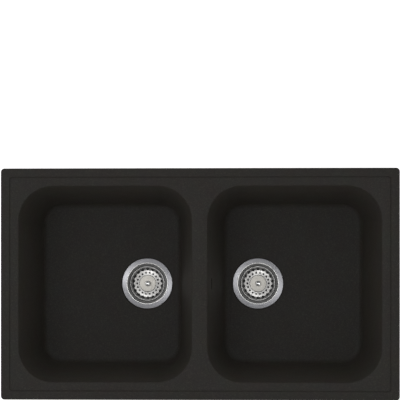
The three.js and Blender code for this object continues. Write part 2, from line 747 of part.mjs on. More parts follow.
// The rubber plug, whose sloping edge seals on the cone of the cup.
function basketStopper() {
  const lipFoot = plugFoot() + PLUG_BEVEL;
  const lipTop = lipFoot + PLUG_LIP;
  const clear = SEAT_GAP * Math.SQRT2;
  const bore = STEM_RADIUS + SEAT_GAP;
  const profile = [
    [bore, plugFoot()],
    [seatRadius(lipFoot) - clear - PLUG_DISH, plugFoot()],
    [seatRadius(lipFoot) - clear, lipFoot],
    [seatRadius(lipTop) - clear, lipTop],
    [seatRadius(lipFoot) - clear - PLUG_DISH, plugTop()],
    [bore, plugTop()],
  ];
  return revolve(profile, 3 * CUP_OPENINGS);
}

function centreBolt() {
  const headFoot = DISH_TOP + SEAT_GAP;
  const end = HUB_FOOT - BOLT_PAST_NUT;
  const profile = [
    [0, end],
    [BOLT_RADIUS - BOLT_CHAMFER, end],
    [BOLT_RADIUS, end + BOLT_CHAMFER],
    [BOLT_RADIUS, headFoot],
    [BOLT_HEAD_RADIUS, headFoot],
    [BOLT_HEAD_RADIUS, headFoot + BOLT_HEAD / 2],
    [BOLT_HEAD_RADIUS - BOLT_HEAD / 2, headFoot + BOLT_HEAD],
    [0, headFoot + BOLT_HEAD],
  ];
  return revolve(profile, SMALL_STEPS);
}

function hexShape(flats) {
  return discShape(flats / Math.sqrt(3), 6);
}

function hubNut() {
  const bore = discShape(BOLT_RADIUS + SEAT_GAP, SMALL_STEPS);
  return plate(hexShape(NUT_FLATS), [bore], NUT_HEIGHT).translate(0, 0, HUB_FOOT);
}

// The outer face of the waste, or its inner one, `inside` a wall's thickness further in.
function wasteProfile(inside) {
  const barrel = WASTE_RADIUS - inside;
  const outlet = OUTLET_RADIUS - inside;
  return [
    [0, OUTLET_FOOT - inside],
    [outlet, OUTLET_FOOT - inside],
    [outlet, OUTLET_TOP],
    [barrel - WASTE_ROUND, BARREL_FOOT],
    [barrel, BARREL_FOOT + WASTE_ROUND],
  ];
}

// The moulded waste: a flange that presses the washer to the floor, a barrel that tapers to the
// threaded outlet, and a hub on three webs that holds the bolt's nut. With the overflow's inlet
// it also has a spigot towards -X.
function wasteBody(withInlet) {
  const flangeFoot = WASTE_TOP - WASTE_FLANGE_THICKNESS;
  const outer = solid(
    revolve(
      [
        ...wasteProfile(0),
        [WASTE_RADIUS, flangeFoot],
        [WASTE_FLANGE, flangeFoot],
        [WASTE_FLANGE, WASTE_TOP],
        [0, WASTE_TOP],
      ],
      HIDDEN_STEPS,
    ),
  );
  const barrelTop = WASTE_TOP + 1;
  const inner = solid(
    revolve(
      [...wasteProfile(WASTE_WALL), [WASTE_RADIUS - WASTE_WALL, barrelTop], [0, barrelTop]],
      HIDDEN_STEPS,
    ),
  );
  const webs = [];
  for (let i = 0; i < WEBS; i += 1) {
    const web = new THREE.BoxGeometry(WASTE_RADIUS, WEB_THICKNESS, WEB_HEIGHT);
    web.translate(WASTE_RADIUS / 2, 0, HUB_TOP - WEB_DROP - WEB_HEIGHT / 2);
    webs.push(solid(web.rotateZ(((2 * i) / WEBS) * Math.PI)));
  }
  const hub = solid(cylinder(HUB_RADIUS, HUB_FOOT, HUB_TOP, SMALL_STEPS));
  const pocket = plate(hexShape(NUT_FLATS + 2 * SEAT_GAP), [], NUT_HEIGHT + 1 + SEAT_GAP);
  const boltHole = cylinder(BOLT_RADIUS + HOLE_GAP, HUB_FOOT - 1, HUB_TOP + 1, SMALL_STEPS);
  const parts = [outer.subtract(inner), unite([...webs, hub]).intersect(outer)];
  const holes = [solid(pocket.translate(0, 0, HUB_FOOT - 1)), solid(boltHole)];
  if (withInlet) {
    const turned = (geometry) => solid(geometry.rotateY(-Math.PI / 2).translate(0, 0, INLET_Z));
    const root = WASTE_RADIUS - WASTE_WALL / 2;
    parts.push(turned(cylinder(HOSE_RADIUS, root, INLET_REACH, PIPE_STEPS)));
    const bore = cylinder(HOSE_BORE, root - 2 * WASTE_WALL, INLET_REACH + 1, PIPE_STEPS);
    holes.push(turned(bore));
  }
  return cut(unite(parts), holes);
}

function strainerWaste(side, name, withInlet) {
  const group = new THREE.Group();
  group.position.x = side * DRAIN_X;
  const add = (piece, geometry, material) =>
    addMesh(group, `${name}_${piece}`, geometry, material);
  const gasketFoot = RECESS_FLOOR + SEAT_GAP;
  const washerFoot = WASTE_TOP + SEAT_GAP;
  const gasketOuter = FLANGE_RADIUS - GASKET;
  const gasketInner = DRAIN_HOLE + GASKET;
  const gasket = washerRing(gasketInner, gasketOuter, gasketFoot, GASKET, HIDDEN_STEPS);
  const washerInner = WASTE_RADIUS + WASHER_CLEARANCE;
  const washer = washerRing(washerInner, WASTE_FLANGE, washerFoot, WASHER, HIDDEN_STEPS);
  add("strainer_cup", strainerCup(), pressedSteel);
  add("flange_gasket", gasket, blackRubber);
  add("lower_washer", washer, blackRubber);
  add("waste_body", geometryOf(wasteBody(withInlet)), whitePlastic);
  add("centre_bolt", centreBolt(), zincSteel);
  add("hub_nut", hubNut(), brass);
  add("strainer_basket", geometryOf(strainerBasket()), pressedSteel);
  add("basket_knob", basketKnob(), polishedSteel);
  add("basket_post", basketPost(), polishedSteel);
  add("basket_stopper", basketStopper(), blackRubber);
  return group;
}

// ---------------------------------------------------------------- overflow

function overflowGasket() {
  const grow = 2 * GASKET_MARGIN;
  const slot = stadium(SLOT_LENGTH + grow, SLOT_HEIGHT + grow);
  const gasket = plate(stadium(...CHAMBER), [slot], OVERFLOW_GASKET);
  return gasket.translate(0, 0, SEAT_GAP).applyMatrix4(overflowFrame());
}

// The moulding behind the slot: a plate with two screw holes, a chamber, and the spigot that
// points straight down between the bowls.
function overflowHousing() {
  const face = OVERFLOW_GASKET + 2 * SEAT_GAP;
  const placed = (geometry, z) => solid(geometry.translate(0, 0, z).applyMatrix4(overflowFrame()));
  const [plateLength, plateHeight] = OVERFLOW_PLATE;
  const screwHole = OVERFLOW_SCREW_RADIUS + HOLE_GAP;
  const back = plate(
    roundedShape(plateLength / 2, plateHeight / 2, OVERFLOW_PLATE_CORNER, 3),
    [-1, 1].map((sign) =>
      discShape(screwHole, SCREW_STEPS, (sign * OVERFLOW_SCREW_SPACING) / 2),
    ),
    OVERFLOW_PLATE_THICKNESS,
  );
  const [length, height] = CHAMBER;
  const chamber = plate(stadium(length, height), [], CHAMBER_DEPTH - face);
  const insideLength = length - 2 * CHAMBER_WALL;
  const insideHeight = height - 2 * CHAMBER_WALL;
  const hollow = plate(stadium(insideLength, insideHeight), [], CHAMBER_DEPTH - CHAMBER_WALL);
  const spigotTop = SLOT_Z - height / 4;
  const spigot = solid(cylinder(HOSE_RADIUS, SPIGOT_FOOT, spigotTop, PIPE_STEPS));
  const boreTop = spigotTop - CHAMBER_WALL;
  const spigotBore = solid(cylinder(HOSE_BORE, SPIGOT_FOOT - 1, boreTop, PIPE_STEPS));
  const shell = unite([placed(back, face), placed(chamber, face), spigot]);
  return cut(shell, [placed(hollow, 0), spigotBore]);
}

function overflowScrew(sign) {
  const headFoot = OVERFLOW_GASKET + OVERFLOW_PLATE_THICKNESS + 3 * SEAT_GAP;
  const headTop = headFoot + OVERFLOW_SCREW_HEAD_HEIGHT;
  const profile = [
    [0, -OVERFLOW_SCREW_BITE],
    [OVERFLOW_SCREW_RADIUS, OVERFLOW_SCREW_RADIUS - OVERFLOW_SCREW_BITE],
    [OVERFLOW_SCREW_RADIUS, headFoot],
    [OVERFLOW_SCREW_HEAD, headFoot],
    [OVERFLOW_SCREW_HEAD - OVERFLOW_SCREW_HEAD_HEIGHT / 2, headTop],
    [0, headTop],
  ];
  const screw = revolve(profile, SCREW_STEPS);
  screw.translate((sign * OVERFLOW_SCREW_SPACING) / 2, 0, 0);
  return screw.applyMatrix4(overflowFrame());
}

// The hose's route in the plane y = 0: down between the bowls, round one bend and along to the
// inlet of the right waste.
function hoseRoute() {
  const top = SPIGOT_FOOT - SEAT_GAP;
  const end = DRAIN_X - INLET_REACH - SEAT_GAP;
  const drop = top - INLET_Z - HOSE_BEND;
  const quarter = (Math.PI / 2) * HOSE_BEND;
  const length = drop + quarter + end - HOSE_BEND;
  const at = (s) => {
    const turn = THREE.MathUtils.clamp((s - drop) / HOSE_BEND, 0, Math.PI / 2);
    const before = Math.min(s, drop);
    const after = Math.max(s - drop - quarter, 0);
    const x = HOSE_BEND * (1 - Math.cos(turn)) + after;
    const z = top - before - HOSE_BEND * Math.sin(turn);
    const along = new THREE.Vector3(Math.sin(turn), 0, -Math.cos(turn));
    return { point: new THREE.Vector3(x, 0, z), along };
  };
  return { length, at };
}

function overflowHose() {
  const { length, at } = hoseRoute();
  const ringAt = (s, radius) => {
    const { point, along } = at(s);
    const side = new THREE.Vector3(0, 1, 0);
    const up = new THREE.Vector3().crossVectors(along, side);
    const ring = [];
    for (let i = 0; i < HOSE_SIDES; i += 1) {
      const angle = ((i + 0.5) / HOSE_SIDES) * 2 * Math.PI;
      const offset = side.clone().multiplyScalar(radius * Math.cos(angle));
      offset.addScaledVector(up, radius * Math.sin(angle));
      ring.push(offset.add(point));
    }
    return ring;
  };
  const ribbed = length - 2 * HOSE_CUFF;
  const ribs = Math.floor(ribbed / RIB_PITCH);
  const pitch = ribbed / ribs;
  const rings = [ringAt(0, HOSE_RADIUS), ringAt(HOSE_CUFF, HOSE_RADIUS)];
  for (let rib = 0; rib < ribs; rib += 1) {
    const start = HOSE_CUFF + rib * pitch;
    rings.push(ringAt(start + pitch / 3, HOSE_VALLEY));
    rings.push(ringAt(start + (5 * pitch) / 6, HOSE_RADIUS));
  }
  rings.push(ringAt(length, HOSE_RADIUS));
  const boreRings = Math.ceil(ribs / 5);
  for (let i = boreRings; i >= 0; i -= 1) {
    rings.push(ringAt((i / boreRings) * length, HOSE_BORE));
  }
  return loft(rings, false);
}

// A fluted nut round the joint of a spigot and the hose, centred on z = 0.
function hoseNut() {
  const outline = [];
  for (let i = 0; i < 2 * HOSE_NUT_FLUTES; i += 1) {
    const angle = (i / HOSE_NUT_FLUTES) * Math.PI;
    const radius = HOSE_NUT_RADIUS - (i % 2) * HOSE_NUT_FLUTE_DEPTH;
    outline.push(new THREE.Vector2(radius * Math.cos(angle), radius * Math.sin(angle)));
  }
  const bore = discShape(HOSE_RADIUS + SEAT_GAP, PIPE_STEPS);
  const nut = plate(new THREE.Shape(outline), [bore], HOSE_NUT_HEIGHT);
  return nut.translate(0, 0, -HOSE_NUT_HEIGHT / 2);
}

function overflow() {
  const group = new THREE.Group();
  addMesh(group, "overflow_gasket", overflowGasket(), blackRubber);
  addMesh(group, "overflow_housing", geometryOf(overflowHousing()), greyPlastic);
  addMesh(group, "overflow_screw_front", overflowScrew(1), zincSteel);
  addMesh(group, "overflow_screw_back", overflowScrew(-1), zincSteel);
  addMesh(group, "overflow_hose", overflowHose(), greyPlastic);
  const upper = addMesh(group, "upper_hose_nut", hoseNut(), whitePlastic);
  upper.position.z = SPIGOT_FOOT;
  const lower = addMesh(group, "lower_hose_nut", hoseNut(), whitePlastic);
  lower.position.set(DRAIN_X - INLET_REACH, 0, INLET_Z);
  lower.rotation.y = Math.PI / 2;
  return group;
}

// ---------------------------------------------------------------- worktop clamps

// A bent strip in the plane of +X and +Z: a heel that bears on the boss, an arm past the screw
// and an upturned tip that grips under the worktop.
function clampClip() {
  const top = -BOSS_HEIGHT - SEAT_GAP;
  const arm = -CLIP_DROP;
  const foot = arm - CLIP_SHEET;
  const inner = CLIP_BEND;
  const outer = CLIP_BEND + CLIP_SHEET;
  const heel = -CLIP_HEEL;
  const tip = CLIP_ARM;
  const outline = new THREE.Shape();
  outline.moveTo(heel, top);
  outline.lineTo(heel, foot + outer);
  outline.absarc(heel + outer, foot + outer, outer, Math.PI, 1.5 * Math.PI, false);
  outline.lineTo(tip - outer, foot);
  outline.absarc(tip - outer, foot + outer, outer, 1.5 * Math.PI, 2 * Math.PI, false);
  outline.lineTo(tip, arm + CLIP_TIP);
  outline.lineTo(tip - CLIP_SHEET, arm + CLIP_TIP);
  outline.lineTo(tip - CLIP_SHEET, arm + inner);
  outline.absarc(tip - outer, arm + inner, inner, 0, -Math.PI / 2, true);
  outline.lineTo(heel + outer, arm);
  outline.absarc(heel + outer, arm + inner, inner, -Math.PI / 2, -Math.PI, true);
  outline.lineTo(heel + CLIP_SHEET, top);
  const strip = plate(outline, [], CLIP_WIDTH, 2);
  strip.translate(0, 0, -CLIP_WIDTH / 2).rotateX(Math.PI / 2);
  const hole = cylinder(SCREW_RADIUS + HOLE_GAP, foot - 1, arm + 1, PIPE_STEPS);
  return solid(strip).subtract(solid(hole));
}

function clampScrew() {
  const headTop = -CLIP_DROP - CLIP_SHEET - SEAT_GAP;
  const headFoot = headTop - SCREW_HEAD_HEIGHT;
  const profile = [
    [0, headFoot],
    [SCREW_HEAD_RADIUS - 1, headFoot],
    [SCREW_HEAD_RADIUS, headFoot + 1],
    [SCREW_HEAD_RADIUS, headTop],
    [SCREW_RADIUS, headTop],
    [SCREW_RADIUS, SCREW_TOP - 1],
    [SCREW_RADIUS - 1, SCREW_TOP],
    [0, SCREW_TOP],
  ];
  return revolve(profile, SCREW_STEPS);
}

// At rest the clips lie along the rim, so that the sink drops into the cut-out.
function clamp({ x, y, outward }, number) {
  const group = new THREE.Group();
  group.position.set(x, y, 0);
  group.rotation.z = outward - Math.PI / 2;
  addMesh(group, `clip_${number}`, geometryOf(clampClip()), zincSteel);
  addMesh(group, `clip_screw_${number}`, clampScrew(), zincSteel);
  return group;
}

// ---------------------------------------------------------------- assembly

const sink = new THREE.Group();
addMesh(sink, "sink_body", geometryOf(sinkBody()), composite);
addMesh(sink, "rim_seal_strip", sealBand(0, 0, SEAL_HEIGHT), blackRubber);
sink.add(strainerWaste(-1, "left", false));
sink.add(strainerWaste(1, "right", true));
sink.add(overflow());
clampPlaces().forEach((place, i) => sink.add(clamp(place, i + 1)));

export default sink;
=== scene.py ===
# %% [markdown]
# # A double bowl kitchen sink
#
# This is an inset sink with two bowls, moulded in black quartz composite. Each bowl drains
# through a pressed steel basket strainer into a plastic waste, the right bowl has an overflow,
# and eight clamps hold the rim down on the worktop. The CAD frame gives the place and the size
# of every part, and the cells below give each of them its finished shape and its finish.

# %% Load the frame
import math

import bmesh
import bpy
from mathutils import Matrix, Vector


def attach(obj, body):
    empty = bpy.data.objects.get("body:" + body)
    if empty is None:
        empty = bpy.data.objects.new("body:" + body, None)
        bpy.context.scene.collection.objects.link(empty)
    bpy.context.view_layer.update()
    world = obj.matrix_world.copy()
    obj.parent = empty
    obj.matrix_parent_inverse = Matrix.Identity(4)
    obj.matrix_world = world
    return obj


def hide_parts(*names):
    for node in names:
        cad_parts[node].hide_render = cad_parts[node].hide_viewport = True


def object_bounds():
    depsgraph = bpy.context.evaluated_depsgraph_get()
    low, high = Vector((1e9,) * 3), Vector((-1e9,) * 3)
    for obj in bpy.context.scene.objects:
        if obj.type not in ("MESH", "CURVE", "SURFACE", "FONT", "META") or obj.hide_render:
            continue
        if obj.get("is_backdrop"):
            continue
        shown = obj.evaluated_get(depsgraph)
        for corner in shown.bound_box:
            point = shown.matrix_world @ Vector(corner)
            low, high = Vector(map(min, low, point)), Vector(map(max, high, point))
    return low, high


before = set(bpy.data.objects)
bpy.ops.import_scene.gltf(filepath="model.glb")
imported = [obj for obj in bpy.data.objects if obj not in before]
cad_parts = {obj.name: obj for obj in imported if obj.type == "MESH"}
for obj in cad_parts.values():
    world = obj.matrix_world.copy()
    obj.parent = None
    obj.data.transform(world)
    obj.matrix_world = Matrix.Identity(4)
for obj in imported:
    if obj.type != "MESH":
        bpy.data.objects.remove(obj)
cad_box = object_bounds()
print("box of the CAD model in mm:", [[round(1000 * c, 1) for c in corner] for corner in cad_box])

# %% [markdown]
# ## Camera
#
# The photograph is taken from straight above, with a long lens. Its sink fills the width of a
# square picture and stands low in it, so the lens is shifted up. The eye is a little to the
# right of the middle, which shows more of the left walls than of the right ones, so the camera
# stands there and is tilted back by two degrees.

# %% Camera
RIM_TOP = 0.008
EYE = Vector((0.135, 0.028, 3.708))
AIM = 0.0011  # where the middle of the view crosses the rim
FRAME_WIDTH = 0.8605  # of the picture, at the height of the rim
SENSOR = 36
LENS_SHIFT = 0.1778

scene = bpy.context.scene
distance = EYE.z - RIM_TOP
tilt = math.atan((EYE.x - AIM) / distance)
bpy.ops.object.camera_add(location=EYE, rotation=(0, tilt, 0))
camera = bpy.context.object
camera.data.sensor_width = SENSOR
camera.data.lens = SENSOR * distance / FRAME_WIDTH
camera.data.shift_y = LENS_SHIFT
camera.data.clip_end = 50
scene.camera = camera
scene.view_settings.view_transform = "Standard"
print(f"lens {camera.data.lens:.1f} mm, {distance:.2f} m above the rim")

# %% [markdown]
# ## Nodes, colours and materials
#
# A colour is written as the hex value that a picture shows. Blender calculates with light, so
# one function turns such a value into linear numbers. Another adds a node with its settings and
# its links, which keeps each material below down to the lines that describe its surface.

# %% Colours and nodes
def colour(hex_value):
    """An sRGB hex value as linear red, green, blue and alpha."""
    channels = [int(hex_value[i : i + 2], 16) / 255 for i in (1, 3, 5)]
    return [c / 12.92 if c <= 0.04045 else ((c + 0.055) / 1.055) ** 2.4 for c in channels] + [1]


def add(material, kind, inputs=None, **settings):
    """Adds a node. An input is a value, or the output of another node that it is linked to."""
    node = material.node_tree.nodes.new("ShaderNode" + kind)
    for setting, value in settings.items():
        setattr(node, setting, value)
    for socket, value in (inputs or {}).items():
        if isinstance(value, bpy.types.NodeSocket):
            material.node_tree.links.new(value, node.inputs[socket])
        else:
            node.inputs[socket].default_value = value
    return node


def new_material(name):
    """An empty material, and the coordinates of the piece that wears it, in metres."""
    material = bpy.data.materials.new(name)
    material.use_nodes = True
    material.node_tree.nodes.clear()
    return material, add(material, "TexCoord").outputs["Object"]


def surface(material, inputs, **fixed):
    """The Principled shader with its linked inputs and its fixed ones, and the output."""
    shader = add(material, "BsdfPrincipled", {**fixed, **inputs})
    add(material, "OutputMaterial", {"Surface": shader.outputs["BSDF"]})
    return material


def per_metre(size_in_mm):
    """The scale of a texture whose features are so many millimetres apart."""
    return 1000 / size_in_mm


def ray_is(material, *kinds):
    """1 for a ray of one of these kinds, and 0 for every other."""
    path = add(material, "LightPath").outputs
    answer, *others = [path[f"Is {kind} Ray"] for kind in kinds]
    for other in others:
        either = add(material, "Math", {0: answer, 1: other}, operation="MAXIMUM")
        answer = either.outputs["Value"]
    return answer


print("deck colour in linear light:", [round(c, 4) for c in colour("#302E2D")[:3]])

# %% [markdown]
# ## Light and floor
#
# A long softbox hangs over the sink in a pale room, a little behind it and to its left. Together
# with the room it lights a level surface so that its colour renders about as it is written, and
# the light is thinner on the walls and in the depth of the bowls, which is what shades them.
# Steel shows what it reflects, so to glossy rays the room fades from white walls to a dark
# ceiling. The floor and the room look white to the camera, through Light Path, and the floor
# still takes the shadow of the sink. From below the floor is clear, so that it hides nothing.

# %% Softbox and room
SOFTBOX_PLACE = Vector((-0.9, 0.25, 6))
SOFTBOX_SIZE = (5, 1.2)
SOFTBOX_TURN = math.radians(-14)
SOFTBOX_WATTS = 70
ROOM_STRENGTH = 0.54
WALLS, CEILING = (0.3, 1), (0.9, 0.1)  # height and strength, to glossy rays

bpy.ops.object.light_add(type="AREA", location=SOFTBOX_PLACE)
softbox = bpy.context.object
softbox.data.shape = "RECTANGLE"
softbox.data.size, softbox.data.size_y = SOFTBOX_SIZE
softbox.data.energy = SOFTBOX_WATTS
softbox.rotation_euler = (0, math.atan(SOFTBOX_PLACE.x / SOFTBOX_PLACE.z), SOFTBOX_TURN)
softbox.visible_camera = False

room = bpy.data.worlds.new("pale room")
scene.world = room
room.use_nodes = True
room.node_tree.nodes.clear()
direction = add(room, "SeparateXYZ", {"Vector": add(room, "TexCoord").outputs["Generated"]})
fade = {"Value": direction.outputs["Z"]}
fade["From Min"], fade["To Min"] = WALLS
fade["From Max"], fade["To Max"] = CEILING
glossy = add(room, "MapRange", fade).outputs["Result"]
lit = add(room, "Mix", {"Factor": ray_is(room, "Glossy"), "A": ROOM_STRENGTH, "B": glossy})
seen = ray_is(room, "Camera", "Transmission")
strength = add(room, "Mix", {"Factor": seen, "A": lit.outputs["Result"], "B": 1})
sky = add(room, "Background", {"Color": (1, 1, 1, 1), "Strength": strength.outputs["Result"]})
add(room, "OutputWorld", {"Surface": sky.outputs["Background"]})
print(f"softbox of {softbox.data.size} x {softbox.data.size_y:.1f} m, {softbox.data.energy} W")

# %% Floor
FLOOR_SIZE = 8
FLOOR_GAP = 0.0005
FLOOR_GLOW = 0.75

bpy.ops.mesh.primitive_plane_add(size=FLOOR_SIZE, location=(0, 0, cad_box[0][2] - FLOOR_GAP))
floor = bpy.context.object
floor.name = "floor"
bpy.ops.object.transform_apply(location=True)
white_floor, _ = new_material("white floor")
seen = ray_is(white_floor, "Camera", "Glossy", "Transmission")
strength = add(white_floor, "Math", {0: seen, 1: FLOOR_GLOW}, operation="MULTIPLY")
paint = add(white_floor, "BsdfDiffuse", {"Color": colour("#E8E8E8")})
glow = add(white_floor, "Emission", {"Strength": strength.outputs["Value"]})
lit = add(white_floor, "AddShader", {0: paint.outputs["BSDF"], 1: glow.outputs["Emission"]})
gone = add(white_floor, "BsdfTransparent")
side = add(white_floor, "NewGeometry")
floor_shader = add(
    white_floor,
    "MixShader",
    {0: side.outputs["Backfacing"], 1: lit.outputs["Shader"], 2: gone.outputs["BSDF"]},
)
add(white_floor, "OutputMaterial", {"Surface": floor_shader.outputs["Shader"]})
floor.data.materials.append(white_floor)
floor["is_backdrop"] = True
print(f"floor at {1000 * floor.data.vertices[0].co.z:.1f} mm")

# %% [markdown]
# ## Working by hand, in code
#
# Each piece starts as one of Blender's primitives and is shaped in edit mode. An operator acts
# on all that is selected, so these helpers first clear the selection, and then pick vertices,
# edges or faces by where they are and which way they face.

# %% Select
def mm(*lengths):
    """Millimetres in Blender's metres: one length, or a vector of three."""
    metres = [length / 1000 for length in lengths]
    return metres[0] if len(metres) == 1 else Vector(metres)


def only(*pieces):
    """Selects these pieces alone, in object mode, and makes the first of them active."""
    active = bpy.context.view_layer.objects.active
    if active and active.mode != "OBJECT":
        bpy.ops.object.mode_set(mode="OBJECT")
    bpy.ops.object.select_all(action="DESELECT")
    for piece in pieces:
        piece.select_set(True)
    if pieces:
        bpy.context.view_layer.objects.active = pieces[0]


def edit(piece):
    only(piece)
    bpy.ops.object.mode_set(mode="EDIT")


def pick(piece, kind, test):
    """In edit mode, selects the vertices, edges or faces that pass a test on their place."""
    bpy.ops.mesh.select_mode(type=kind)
    bpy.ops.mesh.select_all(action="DESELECT")
    mesh = bmesh.from_edit_mesh(piece.data)
    if kind == "VERT":
        picked = [v for v in mesh.verts if test(v.co * 1000)]
    elif kind == "EDGE":
        picked = [e for e in mesh.edges if test(e.verts[0].co * 1000, e.verts[1].co * 1000)]
    else:
        picked = [f for f in mesh.faces if test(f.calc_center_median() * 1000, f.normal)]
    for item in picked:
        item.select_set(True)
    mesh.select_flush_mode()
    bmesh.update_edit_mesh(piece.data)
    return len(picked)


def select_all():
    """In edit mode, selects the whole piece."""
    bpy.ops.mesh.select_all(action="SELECT")


def face_outwards():
    """In edit mode, turns the front of every face outwards."""
    select_all()
    bpy.ops.mesh.normals_make_consistent(inside=False)


def apply_place(piece, place=None):
    """Puts a piece at a place, given as a matrix, and moves that place into its mesh."""
    only(piece)
    if place:
        piece.matrix_world = place @ piece.matrix_world
    bpy.ops.object.transform_apply(location=True, rotation=True, scale=True)


def delete(*pieces):
    """Deletes what was only a tool, or a pattern for copies."""
    only(*pieces)
    bpy.ops.object.delete()


# %% Modifiers, copies and cuts
def modify(piece, kind, **settings):
    """Adds a modifier with its settings and applies it."""
    only(piece)
    modifier = piece.modifiers.new(kind.title(), kind)
    for setting, value in settings.items():
        setattr(modifier, setting, value)
    bpy.ops.object.modifier_apply(modifier=modifier.name)


def combine(piece, tool, how="DIFFERENCE"):
    """Cuts a tool out of a piece, or unites the two. The tool is used up."""
    modify(piece, "BOOLEAN", operation=how, object=tool, solver="EXACT")
    delete(tool)


def copy_of(piece, place=Matrix()):
    """A copy with a mesh of its own, moved by a matrix."""
    only(piece)
    bpy.ops.object.duplicate(linked=False)
    twin = bpy.context.object
    apply_place(twin, place)
    return twin


def joined(pieces):
    only(*pieces)
    bpy.ops.object.join()
    return bpy.context.object


def move(x=0, y=0, z=0):
    """A move by so many millimetres."""
    return Matrix.Translation(mm(x, y, z))


def turn(degrees, centre=(0, 0, 0), axis="Z"):
    """A turn about an upright or level line through a point."""
    middle = Matrix.Translation(Vector(centre))
    return middle @ Matrix.Rotation(math.radians(degrees), 4, axis) @ middle.inverted()


def wreath(piece, count, centre=(0, 0, 0)):
    """A piece and its copies, evenly round an upright axis, as one object."""
    copies = [copy_of(piece, turn(360 * i / count, centre)) for i in range(1, count)]
    return joined([piece, *copies])


# %% Blocks
def block(middle, size, corner=0, segments=8):
    """A box, by its middle and size in mm, with its upright edges rounded."""
    only()
    bpy.ops.mesh.primitive_cube_add(size=1, location=mm(*middle), scale=mm(*size))
    piece = bpy.context.object
    apply_place(piece)
    if corner:
        edit(piece)
        pick(piece, "EDGE", lambda a, b: abs(a.z - b.z) > 0.9 * size[2])
        bpy.ops.mesh.bevel(offset=mm(corner), segments=segments, affect="EDGES")
        only(piece)
    return piece


def round_ended(middle, size, segments=8):
    """A block with round ends, seen from above. The two bevels of an end stay just apart."""
    return block(middle, size, min(size[:2]) / 2 - 0.01, segments)


def step_in(heights, facing):
    """Insets the picked face along a row of (distance in, height) pairs in mm. The face looks
    up, facing 1, or down, facing -1."""
    for (inset, height), (next_inset, next_height) in zip(heights, heights[1:]):
        depth = mm((next_height - height) * facing)
        bpy.ops.mesh.inset(thickness=mm(next_inset - inset), depth=depth, use_even_offset=True)


def round_edges(piece, size, segments=2, angle=40):
    """Rounds all sharp edges of a piece by a size in mm."""
    limit = math.radians(angle)
    modify(piece, "BEVEL", width=mm(size), segments=segments, limit_method="ANGLE", angle_limit=limit)


# %% Turned pieces
def drawn(outline, offset=0, steps=4):
    """An outline in the plane y = 0, drawn point by point. A point is (x, z) in mm, and a third
    number rounds its corner by so much."""
    only()
    bpy.ops.mesh.primitive_plane_add(size=mm(1))
    piece = bpy.context.object
    bpy.ops.object.mode_set(mode="EDIT")
    bpy.ops.mesh.select_mode(type="VERT")
    bpy.ops.mesh.merge(type="CENTER")
    bpy.ops.transform.translate(value=mm(outline[0][0] + offset, 0, outline[0][1]))
    for (x, z, *_), (next_x, next_z, *_) in zip(outline, outline[1:]):
        stroke = {"value": mm(next_x - x, 0, next_z - z)}
        bpy.ops.mesh.extrude_vertices_move(TRANSFORM_OT_translate=stroke)
    for x, z, *rounding in outline:
        if rounding:
            corner = Vector((x + offset, 0, z))
            pick(piece, "VERT", lambda co: (co - corner).length < 0.001)
            bpy.ops.mesh.bevel(offset=mm(rounding[0]), segments=steps, affect="VERTICES")
    return piece


def turned(outline, steps=96, x=0):
    """An outline of (radius, height) points turned about an upright axis at x. It starts and
    ends on the axis, or is closed from its last point to its first."""
    piece = drawn(outline, x)
    ends = [Vector((x + point[0], 0, point[1])) for point in (outline[0], outline[-1])]
    if outline[0][0] > 0:
        pick(piece, "VERT", lambda co: min((co - end).length for end in ends) < 0.001)
        bpy.ops.mesh.edge_face_add()
    return spun(piece, steps, x)


def spun(piece, steps, x):
    select_all()
    full = 2 * math.pi
    bpy.ops.mesh.spin(steps=steps, angle=full, use_auto_merge=True, center=mm(x, 0, 0), axis=(0, 0, 1))
    select_all()
    bpy.ops.mesh.remove_doubles(threshold=1e-6)
    face_outwards()
    only(piece)
    return piece


def pressed(outline, thickness, steps=96, x=0):
    """A pressing in sheet metal: the outline of its upper face, from the rim in, turned and
    given its thickness downwards."""
    piece = spun(drawn(outline, x), steps, x)
    level = [f for f in piece.data.polygons if abs(f.normal.z) > 0.9]
    if level[0].normal.z < 0:
        edit(piece)
        select_all()
        bpy.ops.mesh.flip_normals()
    modify(piece, "SOLIDIFY", thickness=mm(thickness), offset=-1, use_even_offset=True)
    return piece


# %% Finish a piece
def finish_piece(piece, name, body, node, slot, *materials, angle=30):
    """Shades a piece, gives it its materials, ties it to its body and hides the CAD part of its node.
    The slot is not used.
    """
    only(piece)
    piece.name = name
    piece.data.name = name
    bpy.ops.object.shade_smooth_by_angle(angle=math.radians(angle))
    if not piece.data.materials:
        for material in materials:
            piece.data.materials.append(material)
    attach(piece, body)
    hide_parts(node)
    low, high = (Vector(corner) for corner in (piece.bound_box[0], piece.bound_box[6]))
    size = " x ".join(f"{1000 * length:.1f}" for length in high - low)
    print(f"{name}: {size} mm, {len(piece.data.polygons)} faces")


# %% [markdown]
# ## Quartz composite
#
# The sink is moulded from crushed quartz in black acrylic resin. Quartz and acrylic have an
# index of about 1.49. The mould gives it a matt, faintly grained face with no gloss of its own,
# so it reads as an even warm black with a fine speckle. Real grains are 0.1 to 0.7 mm across,
# too fine to show from here, so they are drawn 1.8 mm apart. The bump keeps the real grain.

